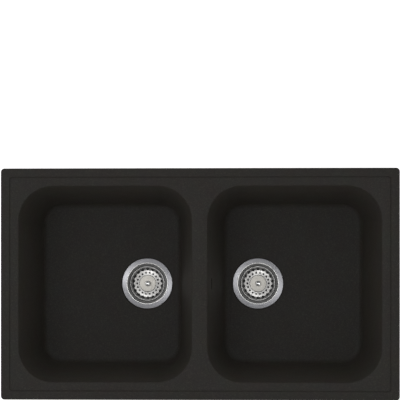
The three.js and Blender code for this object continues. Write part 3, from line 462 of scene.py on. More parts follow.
# %% Quartz composite
def quartz_composite():
    material, place = new_material("matt quartz composite")
    grains = add(material, "TexVoronoi", {"Vector": place, "Scale": per_metre(1.8)})
    tint = add(material, "SeparateColor", {"Color": grains.outputs["Color"]})
    clouds = add(material, "TexNoise", {"Vector": place, "Scale": per_metre(35), "Detail": 3})
    speckle = add(material, "ValToRGB", {"Fac": tint.outputs["Red"]})
    ramp = speckle.color_ramp
    ramp.elements[0].position, ramp.elements[0].color = 0.0, colour("#282522")
    ramp.elements[1].position, ramp.elements[1].color = 1.0, colour("#38352F")
    for position, value in ((0.25, "#2B2824"), (0.75, "#2F2C27")):
        ramp.elements.new(position).color = colour(value)
    mottled = {"Factor": 0.16, 6: speckle.outputs["Color"], 7: clouds.outputs["Color"]}
    base = add(material, "Mix", mottled, data_type="RGBA", blend_type="OVERLAY")
    gloss = add(
        material, "MapRange", {"Value": clouds.outputs["Fac"], "To Min": 0.55, "To Max": 0.65}
    )
    grit = add(material, "TexNoise", {"Vector": place, "Scale": per_metre(0.8), "Detail": 2})
    height = {"Height": grit.outputs["Fac"], "Strength": 0.35, "Distance": mm(0.12)}
    bump = add(material, "Bump", height)
    fixed = {"IOR": 1.49, "Specular IOR Level": 0.3, "Diffuse Roughness": 1}
    linked = {
        "Base Color": base.outputs[2],
        "Roughness": gloss.outputs["Result"],
        "Normal": bump.outputs["Normal"],
    }
    return surface(material, linked, **fixed)


composite = quartz_composite()
print("made", composite.name)

# %% [markdown]
# ## The moulded body
#
# The body is one moulding: a rim plate with a raised border, two bowls with walls that lean in
# by ten degrees for the mould, wide fillets and a floor that falls to the drain. It could be
# pushed out of one flat grid, but the walls meet the floor and the drain in different shapes.
# So the outside and the hollow of a bowl are made first, as blocks whose bottom face is inset
# again and again along the profile. Then the outsides are united with the rim and the hollows
# are cut out, as the two halves of a mould do it.

# %% Sizes of the body
RIM = (860, 500)
RIM_HEIGHT = 8
RIM_CORNER = 8
RIM_ROUNDING = 2.5
DECK = 6.5
OPENING = (374.5, 423)
BOWL_X = 204.25
DRAIN_X = 125.5
BOWL_CORNER = 75
DRAFT = math.radians(10)
WALL = 8
FILLET = 13
LIP = 3
SHOULDER = 4  # radius between the rim's underside and a bowl's outer wall
FLOOR_EDGE, FLOOR_LOW, RECESS_FLOOR, PAD_FACE = -182, -185, -187.5, -196.5
RECESS_RADIUS, PAD_RADIUS, DRAIN_HOLE = 59, 64, 46
RING_POINTS = 68  # round each ring of a bowl, 17 at each of its corners
QUARTER_TURN = (math.pi / 2, math.pi / 3, math.pi / 6, 0)
SEAT_GAP = 0.3  # between pieces that touch
HOLE_GAP = 0.4  # round a screw in a hole that it passes through
print("openings", OPENING, "mm, floor falls", FLOOR_EDGE - FLOOR_LOW, "mm to the drain")

# %% Profile of a bowl
def wall_inset(height):
    """How far a bowl's wall has leaned in at a height, in mm."""
    return (DECK - LIP - height) * math.tan(DRAFT)


def fillet(outside, steps):
    """(inset, height) pairs round the fillet from wall to floor, on a face that lies so many
    mm outside the inner one."""
    radius = FILLET + outside
    centre = FLOOR_EDGE + FILLET
    inset = radius / math.cos(DRAFT) + wall_inset(centre) - outside
    angles = [math.pi + DRAFT + (math.pi / 2 - DRAFT) * i / steps for i in range(steps + 1)]
    return [(inset + radius * math.cos(a), centre + radius * math.sin(a)) for a in angles]


def bowl_block(side, profile, top):
    """A block round a bowl whose bottom face follows a profile down to the bowl's floor."""
    inset, height = profile[0]
    size = (OPENING[0] - 2 * inset, OPENING[1] - 2 * inset, top - height)
    middle = (side * BOWL_X, 0, (top + height) / 2)
    piece = block(middle, size, BOWL_CORNER - inset, RING_POINTS // 4 - 1)
    edit(piece)
    pick(piece, "FACE", lambda co, normal: normal.z < -0.9)
    step_in(profile, -1)
    bpy.ops.mesh.delete(type="FACE")
    return piece


def drain_face(side, radius, height):
    """Adds a round face at the drain and bridges the open floor to it."""
    bpy.ops.mesh.primitive_circle_add(
        vertices=RING_POINTS,
        radius=mm(radius),
        fill_type="NGON",
        location=mm(side * DRAIN_X, 0, height),
        rotation=(0, 0, math.pi / RING_POINTS),
    )
    bpy.ops.mesh.select_mode(type="EDGE")
    bpy.ops.mesh.select_all(action="DESELECT")
    bpy.ops.mesh.select_non_manifold()
    bpy.ops.mesh.bridge_edge_loops()
    face_outwards()


# %% Outside and hollow of a bowl
def bowl_outside(side):
    shoulder = [
        (wall_inset(-SHOULDER) - WALL - SHOULDER * (1 - math.cos(a)), SHOULDER * (math.sin(a) - 1))
        for a in QUARTER_TURN
    ]
    piece = bowl_block(side, shoulder + fillet(WALL, 8), DECK / 2)
    drain_face(side, PAD_RADIUS, PAD_FACE)
    only(piece)
    return piece


def bowl_hollow(side):
    lip = [
        (LIP * (math.cos(a) - 1), DECK - LIP + LIP * math.sin(a))
        for a in QUARTER_TURN
    ]
    piece = bowl_block(side, lip + fillet(0, 10), RIM_HEIGHT + 6)
    drain_face(side, RECESS_RADIUS, FLOOR_LOW)
    pick(piece, "FACE", lambda co, normal: normal.z < -0.99 and co.z < FLOOR_LOW + 0.01)
    seat = RECESS_RADIUS - DRAIN_HOLE
    step_in([(0, FLOOR_LOW), (0.5, RECESS_FLOOR), (seat, RECESS_FLOOR), (seat, PAD_FACE - 8)], -1)
    only(piece)
    return piece


body = block((0, 0, RIM_HEIGHT / 2), (*RIM, RIM_HEIGHT), RIM_CORNER, 6)
edit(body)
pick(body, "EDGE", lambda a, b: min(a.z, b.z) > RIM_HEIGHT - 1)
bpy.ops.mesh.bevel(offset=mm(RIM_ROUNDING), segments=4, affect="EDGES")
for side in (-1, 1):
    combine(body, bowl_outside(side), "UNION")
print("rim and bowls:", len(body.data.polygons), "faces")

# %% [markdown]
# Eight small bosses under the rim carry the clamps' screws. One is modelled and copied to each
# place, turned so that its longer side runs in to the bowl.

# %% Bosses for the clamps
CLAMPS = [(-290, -230, -90), (0, -230, -90), (290, -230, -90), (410, 0, 0)]
CLAMPS += [(-x, -y, angle + 180) for x, y, angle in CLAMPS]
BOSS_X, BOSS_BOTTOM, BOSS_TOP = -4, -14, 3
BOSS_FOOT, BOSS_ROOT = (24, 16), (25.4, 17.4)  # its sides at the bottom, and in the rim
boss_size = (*BOSS_FOOT, BOSS_TOP - BOSS_BOTTOM)
boss = block((BOSS_X, 0, (BOSS_BOTTOM + BOSS_TOP) / 2), boss_size, 2, 3)
edit(boss)
pick(boss, "VERT", lambda co: co.z > 0)
spread = [root / foot for root, foot in zip(BOSS_ROOT, BOSS_FOOT)]
bpy.ops.transform.resize(value=(*spread, 1), center_override=mm(BOSS_X, 0, BOSS_TOP))
places = [move(x, y) @ turn(angle) for x, y, angle in CLAMPS]
bosses = joined([copy_of(boss, place) for place in places])
delete(boss)
combine(body, bosses, "UNION")
print(len(CLAMPS), "bosses under the rim")

# %% [markdown]
# The cuts come next: the deck inside its border, with a fine line along the border's foot, the
# hollows, the groove for the seal, the overflow slot, and the blind holes for the screws.

# %% Deck and hollows
BORDER = 18
DECK_CORNER = 7
LINE_FLOOR = DECK - 0.5
deck_sides = [side - 2 * BORDER for side in RIM]
deck = block((0, 0, RIM_HEIGHT + 5), (*deck_sides, 10), DECK_CORNER, 6)
edit(deck)
pick(deck, "FACE", lambda co, normal: normal.z < -0.9)
step_in([(0, RIM_HEIGHT), (1, LINE_FLOOR), (2, LINE_FLOOR), (2.6, DECK)], -1)
combine(body, deck)
for side in (-1, 1):
    combine(body, bowl_hollow(side))
print("deck and hollows cut:", len(body.data.polygons), "faces")

# %% Groove for the seal
SEAL_INSET, SEAL_WIDTH, SEAL_HEIGHT = 2.5, 6, 1.6


def seal_band(gap, bottom, corner):
    """The seal, or with a gap all round the groove that it lies in."""
    outer, inner, top = SEAL_INSET - gap, SEAL_INSET + SEAL_WIDTH + gap, SEAL_HEIGHT + gap
    outside, inside = ([side - 2 * inset for side in RIM] for inset in (outer, inner))
    middle = (0, 0, (bottom + top) / 2)
    band = block(middle, (*outside, top - bottom), RIM_CORNER - outer, 4)
    combine(band, block((0, 0, 0), (*inside, 8), corner, 2))
    return band


combine(body, seal_band(SEAT_GAP, -1, 0))
print("groove cut:", len(body.data.polygons), "faces")

# %% Overflow slot and screw holes
SLOT, SLOT_Z = (26, 8), -42
OVERFLOW_SCREW_X = 29  # from the slot's middle
OVERFLOW_SCREW_RADIUS, OVERFLOW_SCREW_BITE = 1.5, 5
CLAMP_SCREW_RADIUS, CLAMP_SCREW_TOP = 2.5, 1.5
HALF_DIVIDER = BOWL_X - OPENING[0] / 2
WALL_FRAME = Matrix(
    (
        (0, -math.sin(DRAFT), -math.cos(DRAFT), mm(HALF_DIVIDER + wall_inset(SLOT_Z) - WALL)),
        (-1, 0, 0, 0),
        (0, math.cos(DRAFT), -math.sin(DRAFT), mm(SLOT_Z)),
        (0, 0, 0, 1),
    )
)
slot = round_ended((0, 0, -4), (*SLOT, 24))
apply_place(slot, WALL_FRAME)
combine(body, slot)


def peg(radius, bottom, top, x=0, y=0, sides=24):
    """A plain upright peg between two heights, to bore a hole or to be added."""
    only()
    middle = mm(x, y, (bottom + top) / 2)
    bpy.ops.mesh.primitive_cylinder_add(
        vertices=sides, radius=mm(radius), depth=mm(top - bottom), location=middle
    )
    apply_place(bpy.context.object)
    return bpy.context.object


def screw_pair(radius, bottom, top):
    """Two round tools, where the overflow's two screws go."""
    return joined([peg(radius, bottom, top, x) for x in (OVERFLOW_SCREW_X, -OVERFLOW_SCREW_X)])


pilots = screw_pair(OVERFLOW_SCREW_RADIUS + SEAT_GAP, -OVERFLOW_SCREW_BITE - SEAT_GAP, 1)
apply_place(pilots, WALL_FRAME)
combine(body, pilots)
pilot, pilot_top = CLAMP_SCREW_RADIUS + SEAT_GAP, CLAMP_SCREW_TOP + SEAT_GAP
combine(body, joined([peg(pilot, BOSS_BOTTOM - 1, pilot_top, x, y) for x, y, _ in CLAMPS]))
finish_piece(body, "sink_moulding", "sink", "sink_body", "composite", composite, angle=25)

# %% [markdown]
# ## Steel, brass, plastic and rubber
#
# The finishes of the fittings share three small steps: noise of a size in millimetres, a value
# or a colour between two others, and a relief of a depth in millimetres.

# %% Shared steps of the finishes
def noise(material, place, size, detail=2):
    inputs = {"Vector": place, "Scale": per_metre(size), "Detail": detail}
    return add(material, "TexNoise", inputs).outputs["Fac"]


def between(material, factor, low, high):
    """A number between two numbers, or a colour between two hex values."""
    if isinstance(low, str):
        inputs = {"Factor": factor, 6: colour(low), 7: colour(high)}
        return add(material, "Mix", inputs, data_type="RGBA").outputs[2]
    inputs = {"Value": factor, "To Min": low, "To Max": high}
    return add(material, "MapRange", inputs).outputs["Result"]


def relief(material, height, depth):
    return add(material, "Bump", {"Height": height, "Distance": mm(depth)}).outputs["Normal"]


def finish_of(material, base, roughness, normal, **fixed):
    linked = {"Base Color": base, "Roughness": roughness, "Normal": normal}
    return surface(material, linked, **fixed)


# %% [markdown]
# The strainers are pressed from stainless steel. Their flanges are turned on a lathe and their
# baskets ground outwards, so fine scratches run round each drain's axis or out from it. They are
# noise over the radius and the direction from that axis. The two drains lie as far left as right
# of the middle, so the distance across is taken without its sign. Such a face spreads its
# highlights across the scratches, which turns them into fans. The raised middle of a basket is
# blasted with beads, and the walls inside are dull from the pickling bath.

# %% Steel
def scratched_steel(name, arc, width, colours, roughness, depth, rotation):
    """Steel with fine scratches about a drain's axis: so many mm apart outwards, and the closer
    together round the axis the larger the arc. The rotation, as a share of a full turn, is the
    way in which the highlights spread."""
    material, place = new_material(name)
    xyz = add(material, "SeparateXYZ", {"Vector": place}).outputs
    across = add(material, "Math", {0: xyz["X"]}, operation="ABSOLUTE")
    from_drain = {0: across.outputs["Value"], 1: mm(DRAIN_X)}
    across = add(material, "Math", from_drain, operation="SUBTRACT")
    flat = add(material, "CombineXYZ", {"X": across.outputs["Value"], "Y": xyz["Y"]})
    flat = flat.outputs["Vector"]
    radius = add(material, "VectorMath", {0: flat}, operation="LENGTH").outputs["Value"]
    direction = add(material, "VectorMath", {0: flat}, operation="NORMALIZE").outputs["Vector"]
    around = add(material, "VectorMath", {0: direction, "Scale": arc}, operation="SCALE")
    outward = add(material, "Math", {0: radius, 1: per_metre(width)}, operation="MULTIPLY")
    outward = add(material, "CombineXYZ", {"Z": outward.outputs["Value"]})
    both = {0: around.outputs["Vector"], 1: outward.outputs["Vector"]}
    grid = add(material, "VectorMath", both, operation="ADD").outputs["Vector"]
    scratches = add(material, "TexNoise", {"Vector": grid, "Scale": 1, "Detail": 3}).outputs["Fac"]
    linked = {
        "Base Color": between(material, scratches, *colours),
        "Roughness": between(material, scratches, *roughness),
        "Normal": relief(material, scratches, depth),
        "Tangent": add(material, "Tangent", direction_type="RADIAL", axis="Z").outputs["Tangent"],
    }
    fixed = {"Metallic": 1, "Anisotropic": 0.95, "Anisotropic Rotation": rotation}
    return surface(material, linked, **fixed)


def satin_steel(name, colours, roughness):
    material, place = new_material(name)
    beads = noise(material, place, 0.6, 3)
    base = between(material, beads, *colours)
    roughness = between(material, noise(material, place, 6), *roughness)
    return finish_of(material, base, roughness, relief(material, beads, 0.04), Metallic=1)


def polished_steel():
    material, place = new_material("polished stainless steel")
    haze = noise(material, place, 3)
    base = between(material, haze, "#C9C9C8", "#D9D9D8")
    normal = relief(material, noise(material, place, 0.4), 0.002)
    return finish_of(material, base, between(material, haze, 0.06, 0.16), normal, Metallic=1)


def zinc_plate():
    material, place = new_material("zinc-plated steel")
    spangle = add(material, "TexVoronoi", {"Vector": place, "Scale": per_metre(2.5)})
    grain = add(material, "SeparateColor", {"Color": spangle.outputs["Color"]}).outputs["Red"]
    base = between(material, grain, "#AAAFB3", "#B6BBBE")
    normal = relief(material, noise(material, place, 0.5), 0.01)
    return finish_of(material, base, between(material, grain, 0.38, 0.46), normal, Metallic=1)


def turned_brass():
    material, place = new_material("turned brass")
    tarnish = noise(material, place, 4, 4)
    base = between(material, tarnish, "#A98A49", "#C9AC68")
    normal = relief(material, noise(material, place, 0.3), 0.01)
    return finish_of(material, base, between(material, tarnish, 0.24, 0.42), normal, Metallic=1)


turned_steel = scratched_steel(
    "turned stainless steel",
    arc=5,
    width=0.35,
    colours=("#96969A", "#B0B0B4"),
    roughness=(0.28, 0.38),
    depth=0.01,
    rotation=0.25,
)
ground_steel = scratched_steel(
    "ground stainless steel",
    arc=30,
    width=4,
    colours=("#BEBDBB", "#D4D3D1"),
    roughness=(0.3, 0.38),
    depth=0.004,
    rotation=0,
)
satin = satin_steel("bead-blasted stainless steel", ("#C6C3BC", "#EAE7E0"), (0.42, 0.52))
pickled = satin_steel("pickled stainless steel", ("#D9D9D8", "#F1F1F1"), (0.64, 0.74))
polished = polished_steel()
zinc = zinc_plate()
brass = turned_brass()
metals = (turned_steel, ground_steel, satin, pickled, polished, zinc, brass)
print("metals:", ", ".join(metal.name for metal in metals))

# %% [markdown]
# The wastes, the hose and its nuts are moulded in polypropylene, with an index of 1.49 and a
# faint orange-peel skin. The seals are black rubber, and the strip under the rim is a foam.

# %% Plastic and rubber
def polypropylene(name, low, high):
    material, place = new_material(name)
    skin = noise(material, place, 1.5)
    base = between(material, noise(material, place, 20), low, high)
    roughness = between(material, skin, 0.38, 0.52)
    fixed = {"IOR": 1.49, "Subsurface Weight": 0.05, "Subsurface Scale": mm(2)}
    return finish_of(material, base, roughness, relief(material, skin, 0.03), **fixed)


def rubber(name, low, high, grain, depth):
    material, place = new_material(name)
    cells = noise(material, place, grain, 3)
    base = between(material, cells, low, high)
    roughness = between(material, cells, 0.72, 0.9)
    fixed = {"IOR": 1.52, "Sheen Weight": 0.1, "Sheen Roughness": 0.6}
    return finish_of(material, base, roughness, relief(material, cells, depth), **fixed)


white_plastic = polypropylene("white polypropylene", "#DDDDD8", "#EAEAE6")
grey_plastic = polypropylene("grey polypropylene", "#919393", "#A3A5A5")
black_rubber = rubber("black rubber", "#303030", "#3E3E3E", 0.8, 0.03)
foam = rubber("black foam rubber", "#121212", "#262626", 0.7, 0.25)
soft = (white_plastic, grey_plastic, black_rubber, foam)
print("plastics and rubbers:", ", ".join(each.name for each in soft))

# %% [markdown]
# ## The seal under the rim
#
# A flat strip of foam lies in the groove near the edge of the rim.

# %% Rim seal
seal = seal_band(0, 0, 1)
finish_piece(seal, "foam_rim_seal", "sink", "rim_seal_strip", "black_rubber", foam)

# %% [markdown]
# ## Strainer cups
#
# Both drains carry the same pieces, so each is modelled once, in the left one, and copied across.
# The cup is one pressing: a flange that lies on its gasket, a steep mouth, a cup, the cone that
# the plug seals on, a floor with nine openings between narrow spokes, and a dish for the bolt.
# The lip between flange and mouth is polished, which draws a thin bright line round the mouth.

# %% Pairs of pieces
LEFT, RIGHT = -DRAIN_X, DRAIN_X


def across(piece):
    """The same piece in the right drain."""
    return copy_of(piece, move(RIGHT - LEFT))


def finish_pair(piece, name, node, slot, *materials, moving=False, angle=30):
    for side, each in (("left", piece), ("right", across(piece))):
        body = f"{side}_basket" if moving else "sink"
        finish_piece(each, f"{side}_{name}", body, f"{side}_{node}", slot, *materials, angle=angle)


def from_axis(co):
    """Distance in mm of a point from the axis of the left drain."""
    return math.hypot(co.x - LEFT, co.y)


def finishes(piece, first, others):
    """Gives a piece one material, and others to the faces that pass their tests."""
    piece.data.materials.append(first)
    for slot_number, (material, test) in enumerate(others, 1):
        piece.data.materials.append(material)
        edit(piece)
        picked = pick(piece, "FACE", test)
        piece.active_material_index = slot_number
        bpy.ops.object.material_slot_assign()
        print(f"{picked} faces in {material.name}")


def sector(inner, outer, bottom, top, start, sweep, x=0):
    """A block between two radii and two heights, swept round an upright axis by degrees."""
    piece = block((x + (inner + outer) / 2, 0, (bottom + top) / 2), (outer - inner, 1, top - bottom))
    edit(piece)
    pick(piece, "FACE", lambda co, normal: normal.y < -0.9)
    bpy.ops.mesh.select_all(action="INVERT")
    bpy.ops.mesh.delete(type="FACE")
    select_all()
    bpy.ops.transform.translate(value=mm(0, 0.5, 0))
    bpy.ops.mesh.spin(steps=8, angle=math.radians(sweep), center=mm(x, 0, 0), axis=(0, 0, 1))
    face_outwards()
    apply_place(piece, turn(start, mm(x, 0, 0)))
    return piece


# %% Strainer cup
FLANGE_INSIDE = 46.9
LIP_RING = (45, 46.6)
CUP_OPENINGS = 9
OPENING_STEP = 360 / CUP_OPENINGS
cup_outline = [
    (57, -185.9),
    (57, -184.9, 0.8),
    (47.5, -184.3),
    (46.3, -184.1),
    (45.9, -184.14),
    (45.4, -184.6, 0.4),
    (44.9, -186),
    (40.2, -192.7, 1.5),
    (39.6, -206.2, 1),
    (33, -212.7, 1.5),
    (11, -212.7, 1),
    (9, -216.2, 1),
    (3.4, -216.2),
]
cup = pressed(cup_outline, 1.2, x=LEFT)
opening = sector(14, 30, -215, -211, OPENING_STEP / 6, OPENING_STEP * 2 / 3, LEFT)
round_edges(opening, 1.5)
combine(cup, wreath(opening, CUP_OPENINGS, mm(LEFT, 0, 0)))
inside = (pickled, lambda co, normal: from_axis(co) < FLANGE_INSIDE)
lip = (polished, lambda co, normal: LIP_RING[0] < from_axis(co) < LIP_RING[1] and normal.z > 0.1)
finishes(cup, turned_steel, [inside, lip])
finish_pair(cup, "pressed_cup", "strainer_cup", "pressed_steel")


# %% [markdown]
# Flat rubber rings seal the flange above the sink's floor and the waste below it.

# %% Gasket and washer
def flat_ring(inner, outer, bottom, top, rounding):
    corners = [(inner, bottom), (outer, bottom), (outer, top), (inner, top)]
    return turned([(*corner, rounding) for corner in corners], 64, LEFT)


gasket = flat_ring(47, 56, RECESS_FLOOR + SEAT_GAP, -186.2, 0.3)
finish_pair(gasket, "flat_gasket", "flange_gasket", "black_rubber", black_rubber)
washer = flat_ring(48, 58, -199.8, PAD_FACE - SEAT_GAP, 0.6)
finish_pair(washer, "thick_washer", "lower_washer", "black_rubber", black_rubber)

# %% [markdown]
# ## Strainer baskets
#
# A basket is pressed from thinner sheet, with a rolled rim. Eighteen slots with round ends come
# in from the wall over the floor. What is left between them stands out as a star. A ring of round
# holes lies inside the star. The wall is pickled, and the raised middle has a bead-blasted face.

# %% Strainer basket
SLOTS = 18
FLOOR_SLOT, FLOOR_SLOT_X = (16.9, 7.7, 8), 38
WALL_SLOT, WALL_SLOT_X = (13.2, 6, 10), 37.5
HOLE_RADIUS, HOLE_CIRCLE = 2.3, 24.3
DISC_RADIUS = 18.3
WALL_RING = (32.5, 37.2)
axis = mm(LEFT, 0, 0)
basket_outline = [
    (38.9, -191.2),
    (38.9, -189.7, 0.5),
    (37, -189.7, 0.5),
    (33, -204.2, 1.6),
    (19.1, -204.2, 0.3),
    (18.5, -203.4, 0.3),
    (2.4, -203.4),
]
basket = pressed(basket_outline, 1, steps=144, x=LEFT)
in_floor = round_ended((LEFT + FLOOR_SLOT_X, 0, -203), FLOOR_SLOT, 6)
in_wall = round_ended((0, 0, 0), WALL_SLOT, 6)
apply_place(in_wall, move(LEFT + WALL_SLOT_X, 0, -203.4) @ turn(90, axis="Y"))
for tool in (in_floor, in_wall):
    apply_place(tool, turn(180 / SLOTS, axis))
    combine(basket, wreath(tool, SLOTS, axis))
hole = peg(HOLE_RADIUS, -207, -201, LEFT + HOLE_CIRCLE, 0, 16)
combine(basket, wreath(hole, SLOTS, axis))
disc = (satin, lambda co, normal: normal.z > 0.5 and from_axis(co) < DISC_RADIUS)
wall = (pickled, lambda co, normal: normal.z < 0.7 and WALL_RING[0] < from_axis(co) < WALL_RING[1])
finishes(basket, ground_steel, [disc, wall])
finish_pair(basket, "pressed_basket", "strainer_basket", "pressed_steel", moving=True)

# %% [markdown]
# The knob is turned from solid steel, dished on top and polished. Its stem passes through the
# basket and holds the rubber plug with a riveted end.

# %% Knob, stem and plug
knob_outline = [
    (0, -203.1),
    (4.7, -203.1, 0.3),
    (3.7, -202.1, 0.6),
    (3.7, -197, 0.6),
    (6, -195.4, 0.6),
    (6, -192.6, 1.6),
    (4.4, -190.6, 0.8),
    (0, -192.2),
]
knob = turned(knob_outline, 48, LEFT)
finish_pair(knob, "turned_knob", "basket_knob", "polished_steel", polished, moving=True, angle=50)
stem_outline = [
    (0, -210.4),
    (3.9, -210.4, 0.5),
    (3.9, -209.5),
    (2, -209.5),
    (2, -206.1),
    (6, -206.1, 0.3),
    (6, -204.7, 0.3),
    (2, -204.7),
    (2, -203.1),
    (0, -203.1),
]
stem = turned(stem_outline, 32, LEFT)
finish_pair(stem, "riveted_stem", "basket_post", "polished_steel", polished, moving=True)
plug_outline = [
    (2.3, -209.2),
    (32.5, -209.2, 0.3),
    (36.5, -208.8, 0.3),
    (37.6, -207.7, 0.4),
    (32.5, -206.4, 0.6),
    (2.3, -206.4),
]
plug = turned(plug_outline, 96, LEFT)
finish_pair(plug, "rubber_plug", "basket_stopper", "black_rubber", black_rubber, moving=True)

# %% [markdown]
# ## Wastes
#
# The waste is moulded in white plastic: a flange, a barrel that tapers to an outlet with a pipe
# thread, and a hub on three webs. A steel bolt and a brass nut pull the cup down on to it. The
# right one has an inlet for the overflow hose.

# %% Thread
def thread(radius, depth, pitch, bottom, top, steps=24):
    """The ridge of a screw thread round the upright axis through the origin."""
    root = radius - 1.2 * depth
    tooth = [(root, bottom), (radius, bottom + 0.4 * pitch), (radius, bottom + 0.55 * pitch)]
    ridge = drawn([*tooth, (root, bottom + 0.95 * pitch)])
    select_all()
    bpy.ops.mesh.edge_face_add()
    bpy.ops.mesh.select_mode(type="FACE")
    bpy.ops.mesh.delete(type="ONLY_FACE")
    modify(
        ridge,
        "SCREW",
        axis="Z",
        steps=steps,
        render_steps=steps,
        iterations=int((top - bottom) / pitch) - 1,
        screw_offset=mm(pitch),
    )
    edit(ridge)
    select_all()
    bpy.ops.mesh.fill_holes(sides=0)
    face_outwards()
    only(ridge)
    return ridge


# %% Waste
SPIGOT_RADIUS, SPIGOT_BORE = 10.5, 7.5
INLET_Z = -225.1
NUT_ACROSS, NUT_TOP = 10, -236.1
PIPE_PITCH = 2.309  # eleven turns to the inch


def hexagon(across_flats, bottom, top, x=0):
    return peg(across_flats / math.sqrt(3), bottom, top, x, sides=6)


waste_outline = [
    (22.9, -285.1, 0.6),
    (22.9, -253.1),
    (43.5, -239.1, 2),
    (47.5, -235.1, 2),
    (47.5, -204.1, 0.8),
    (58, -204.1, 0.8),
    (58, -200.1, 0.8),
    (44.5, -200.1),
    (44.5, -235.1, 2),
    (40.5, -239.1, 2),
    (20.9, -253.1, 1),
    (20.9, -285.1, 0.6),
]
waste = turned(waste_outline, 96)
web = block((26, 0, -232.6), (39, 3, 11))
edit(web)
pick(web, "VERT", lambda co: co.x > 40 and co.z < -235)
bpy.ops.transform.translate(value=mm(-4, 0, 0))
hub = wreath(web, 3)
combine(hub, peg(8.5, -241.1, -223.1, sides=48), "UNION")
combine(waste, hub, "UNION")
combine(waste, peg(3.5, -245, -220))
combine(waste, hexagon(NUT_ACROSS + 2 * SEAT_GAP, -242, NUT_TOP + SEAT_GAP))
inlet = peg(SPIGOT_RADIUS, 45, 62, sides=48)
bore = peg(SPIGOT_BORE, 40, 64, sides=48)
left_waste = copy_of(waste)
for tool in (inlet, bore):
    apply_place(tool, move(z=INLET_Z) @ turn(-90, axis="Y"))
combine(waste, inlet, "UNION")
combine(waste, bore)
pipe_thread = thread(23.9, 1, PIPE_PITCH, -284.5, -256, 64)
for side, x, piece in (("left", LEFT, left_waste), ("right", RIGHT, waste)):
    piece = joined([piece, copy_of(pipe_thread)])
    apply_place(piece, move(x))
    name, node = f"{side}_moulded_waste", f"{side}_waste_body"
    finish_piece(piece, name, "sink", node, "white_plastic", white_plastic)
delete(pipe_thread)

# %% Bolt and nut
bolt_outline = [
    (0, -243.1),
    (2, -243.1),
    (2.5, -242.5),
    (2.5, -215.9),
    (6.5, -215.9, 0.3),
    (6.5, -214.4, 0.8),
    (5, -213.3, 0.4),
    (0, -213.3),
]
bolt = turned(bolt_outline, 32)
combine(bolt, block((0, 0, -213.3), (14, 1.4, 2.4)))
bolt = joined([bolt, thread(3, 0.5, 1, -242.5, -218)])
apply_place(bolt, move(LEFT))
finish_pair(bolt, "slotted_bolt", "centre_bolt", "zinc_steel", zinc)
nut = hexagon(NUT_ACROSS, -241.1, NUT_TOP, LEFT)
round_edges(nut, 0.4)
combine(nut, peg(3.1, -243, -234, LEFT))
finish_pair(nut, "hexagon_nut", "hub_nut", "brass", brass)

# %% [markdown]
# ## Overflow
#
# Behind the slot in the right bowl a grey housing is screwed to the wall on a gasket. These are
# modelled flat, and then placed in the frame of the wall. A ribbed hose leads from the housing's
# spigot down between the bowls to the inlet of the right waste, and a fluted nut holds each end.

# %% Overflow gasket
CHAMBER = (44, 26)
SLOT_GASKET = 1.5  # its thickness
gasket = round_ended((0, 0, SEAT_GAP + SLOT_GASKET / 2), (*CHAMBER, SLOT_GASKET))
combine(gasket, round_ended((0, 0, 1), (SLOT[0] + 4, SLOT[1] + 4, 6)))
apply_place(gasket, WALL_FRAME)
finish_piece(gasket, "slot_gasket", "sink", "overflow_gasket", "black_rubber", black_rubber)

# %% Overflow housing
HOUSING_FOOT = SLOT_GASKET + 2 * SEAT_GAP
HOUSING_FLANGE = (72, 32, 2.5)
CHAMBER_DEPTH = 29
CHAMBER_WALL = 2.2
housing = block((0, 0, HOUSING_FOOT + HOUSING_FLANGE[2] / 2), HOUSING_FLANGE, 10, 6)
chamber_size = (*CHAMBER, CHAMBER_DEPTH - HOUSING_FOOT)
chamber = round_ended((0, 0, (CHAMBER_DEPTH + HOUSING_FOOT) / 2), chamber_size, 10)
edit(chamber)
pick(chamber, "EDGE", lambda a, b: min(a.z, b.z) > CHAMBER_DEPTH - 0.1)
bpy.ops.mesh.bevel(offset=mm(2.5), segments=4, affect="EDGES")
combine(housing, chamber, "UNION")
combine(housing, screw_pair(OVERFLOW_SCREW_RADIUS + HOLE_GAP, 0, 8))
apply_place(housing, WALL_FRAME)
combine(housing, peg(SPIGOT_RADIUS, -72, -48.5, sides=48), "UNION")
depth = CHAMBER_DEPTH - CHAMBER_WALL
hollow_sides = [side - 2 * CHAMBER_WALL for side in CHAMBER]
hollow = round_ended((0, 0, depth / 2), (*hollow_sides, depth), 10)
apply_place(hollow, WALL_FRAME)
combine(housing, hollow)
combine(housing, peg(SPIGOT_BORE, -74, -50.7, sides=48))
finish_piece(housing, "moulded_housing", "sink", "overflow_housing", "grey_plastic", grey_plastic)

# %% Overflow screws
def cross_recess(screw, height, length, width, depth):
    for size in ((length, width, depth), (width, length, depth)):
        combine(screw, block((0, 0, height), size))


screw_outline = [
    (0, -OVERFLOW_SCREW_BITE),
    (0.3, -OVERFLOW_SCREW_BITE),
    (1.2, -3.6),
    (1.2, 4.9),
    (3.8, 4.9, 0.3),
    (3.6, 6.2, 0.6),
    (2.2, 7.1, 0.8),
    (0, 7.1),
]
screw = turned(screw_outline, 32)
cross_recess(screw, 7.1, 3.6, 0.8, 2.6)
screw = joined([screw, thread(OVERFLOW_SCREW_RADIUS, 0.35, 0.9, -3.6, 4.6, 16)])
for x, end in ((OVERFLOW_SCREW_X, "front"), (-OVERFLOW_SCREW_X, "back")):
    placed = copy_of(screw, WALL_FRAME @ move(x))
    name, node = f"{end}_pan_head_screw", f"overflow_screw_{end}"
    finish_piece(placed, name, "sink", node, "zinc_steel", zinc)
delete(screw)

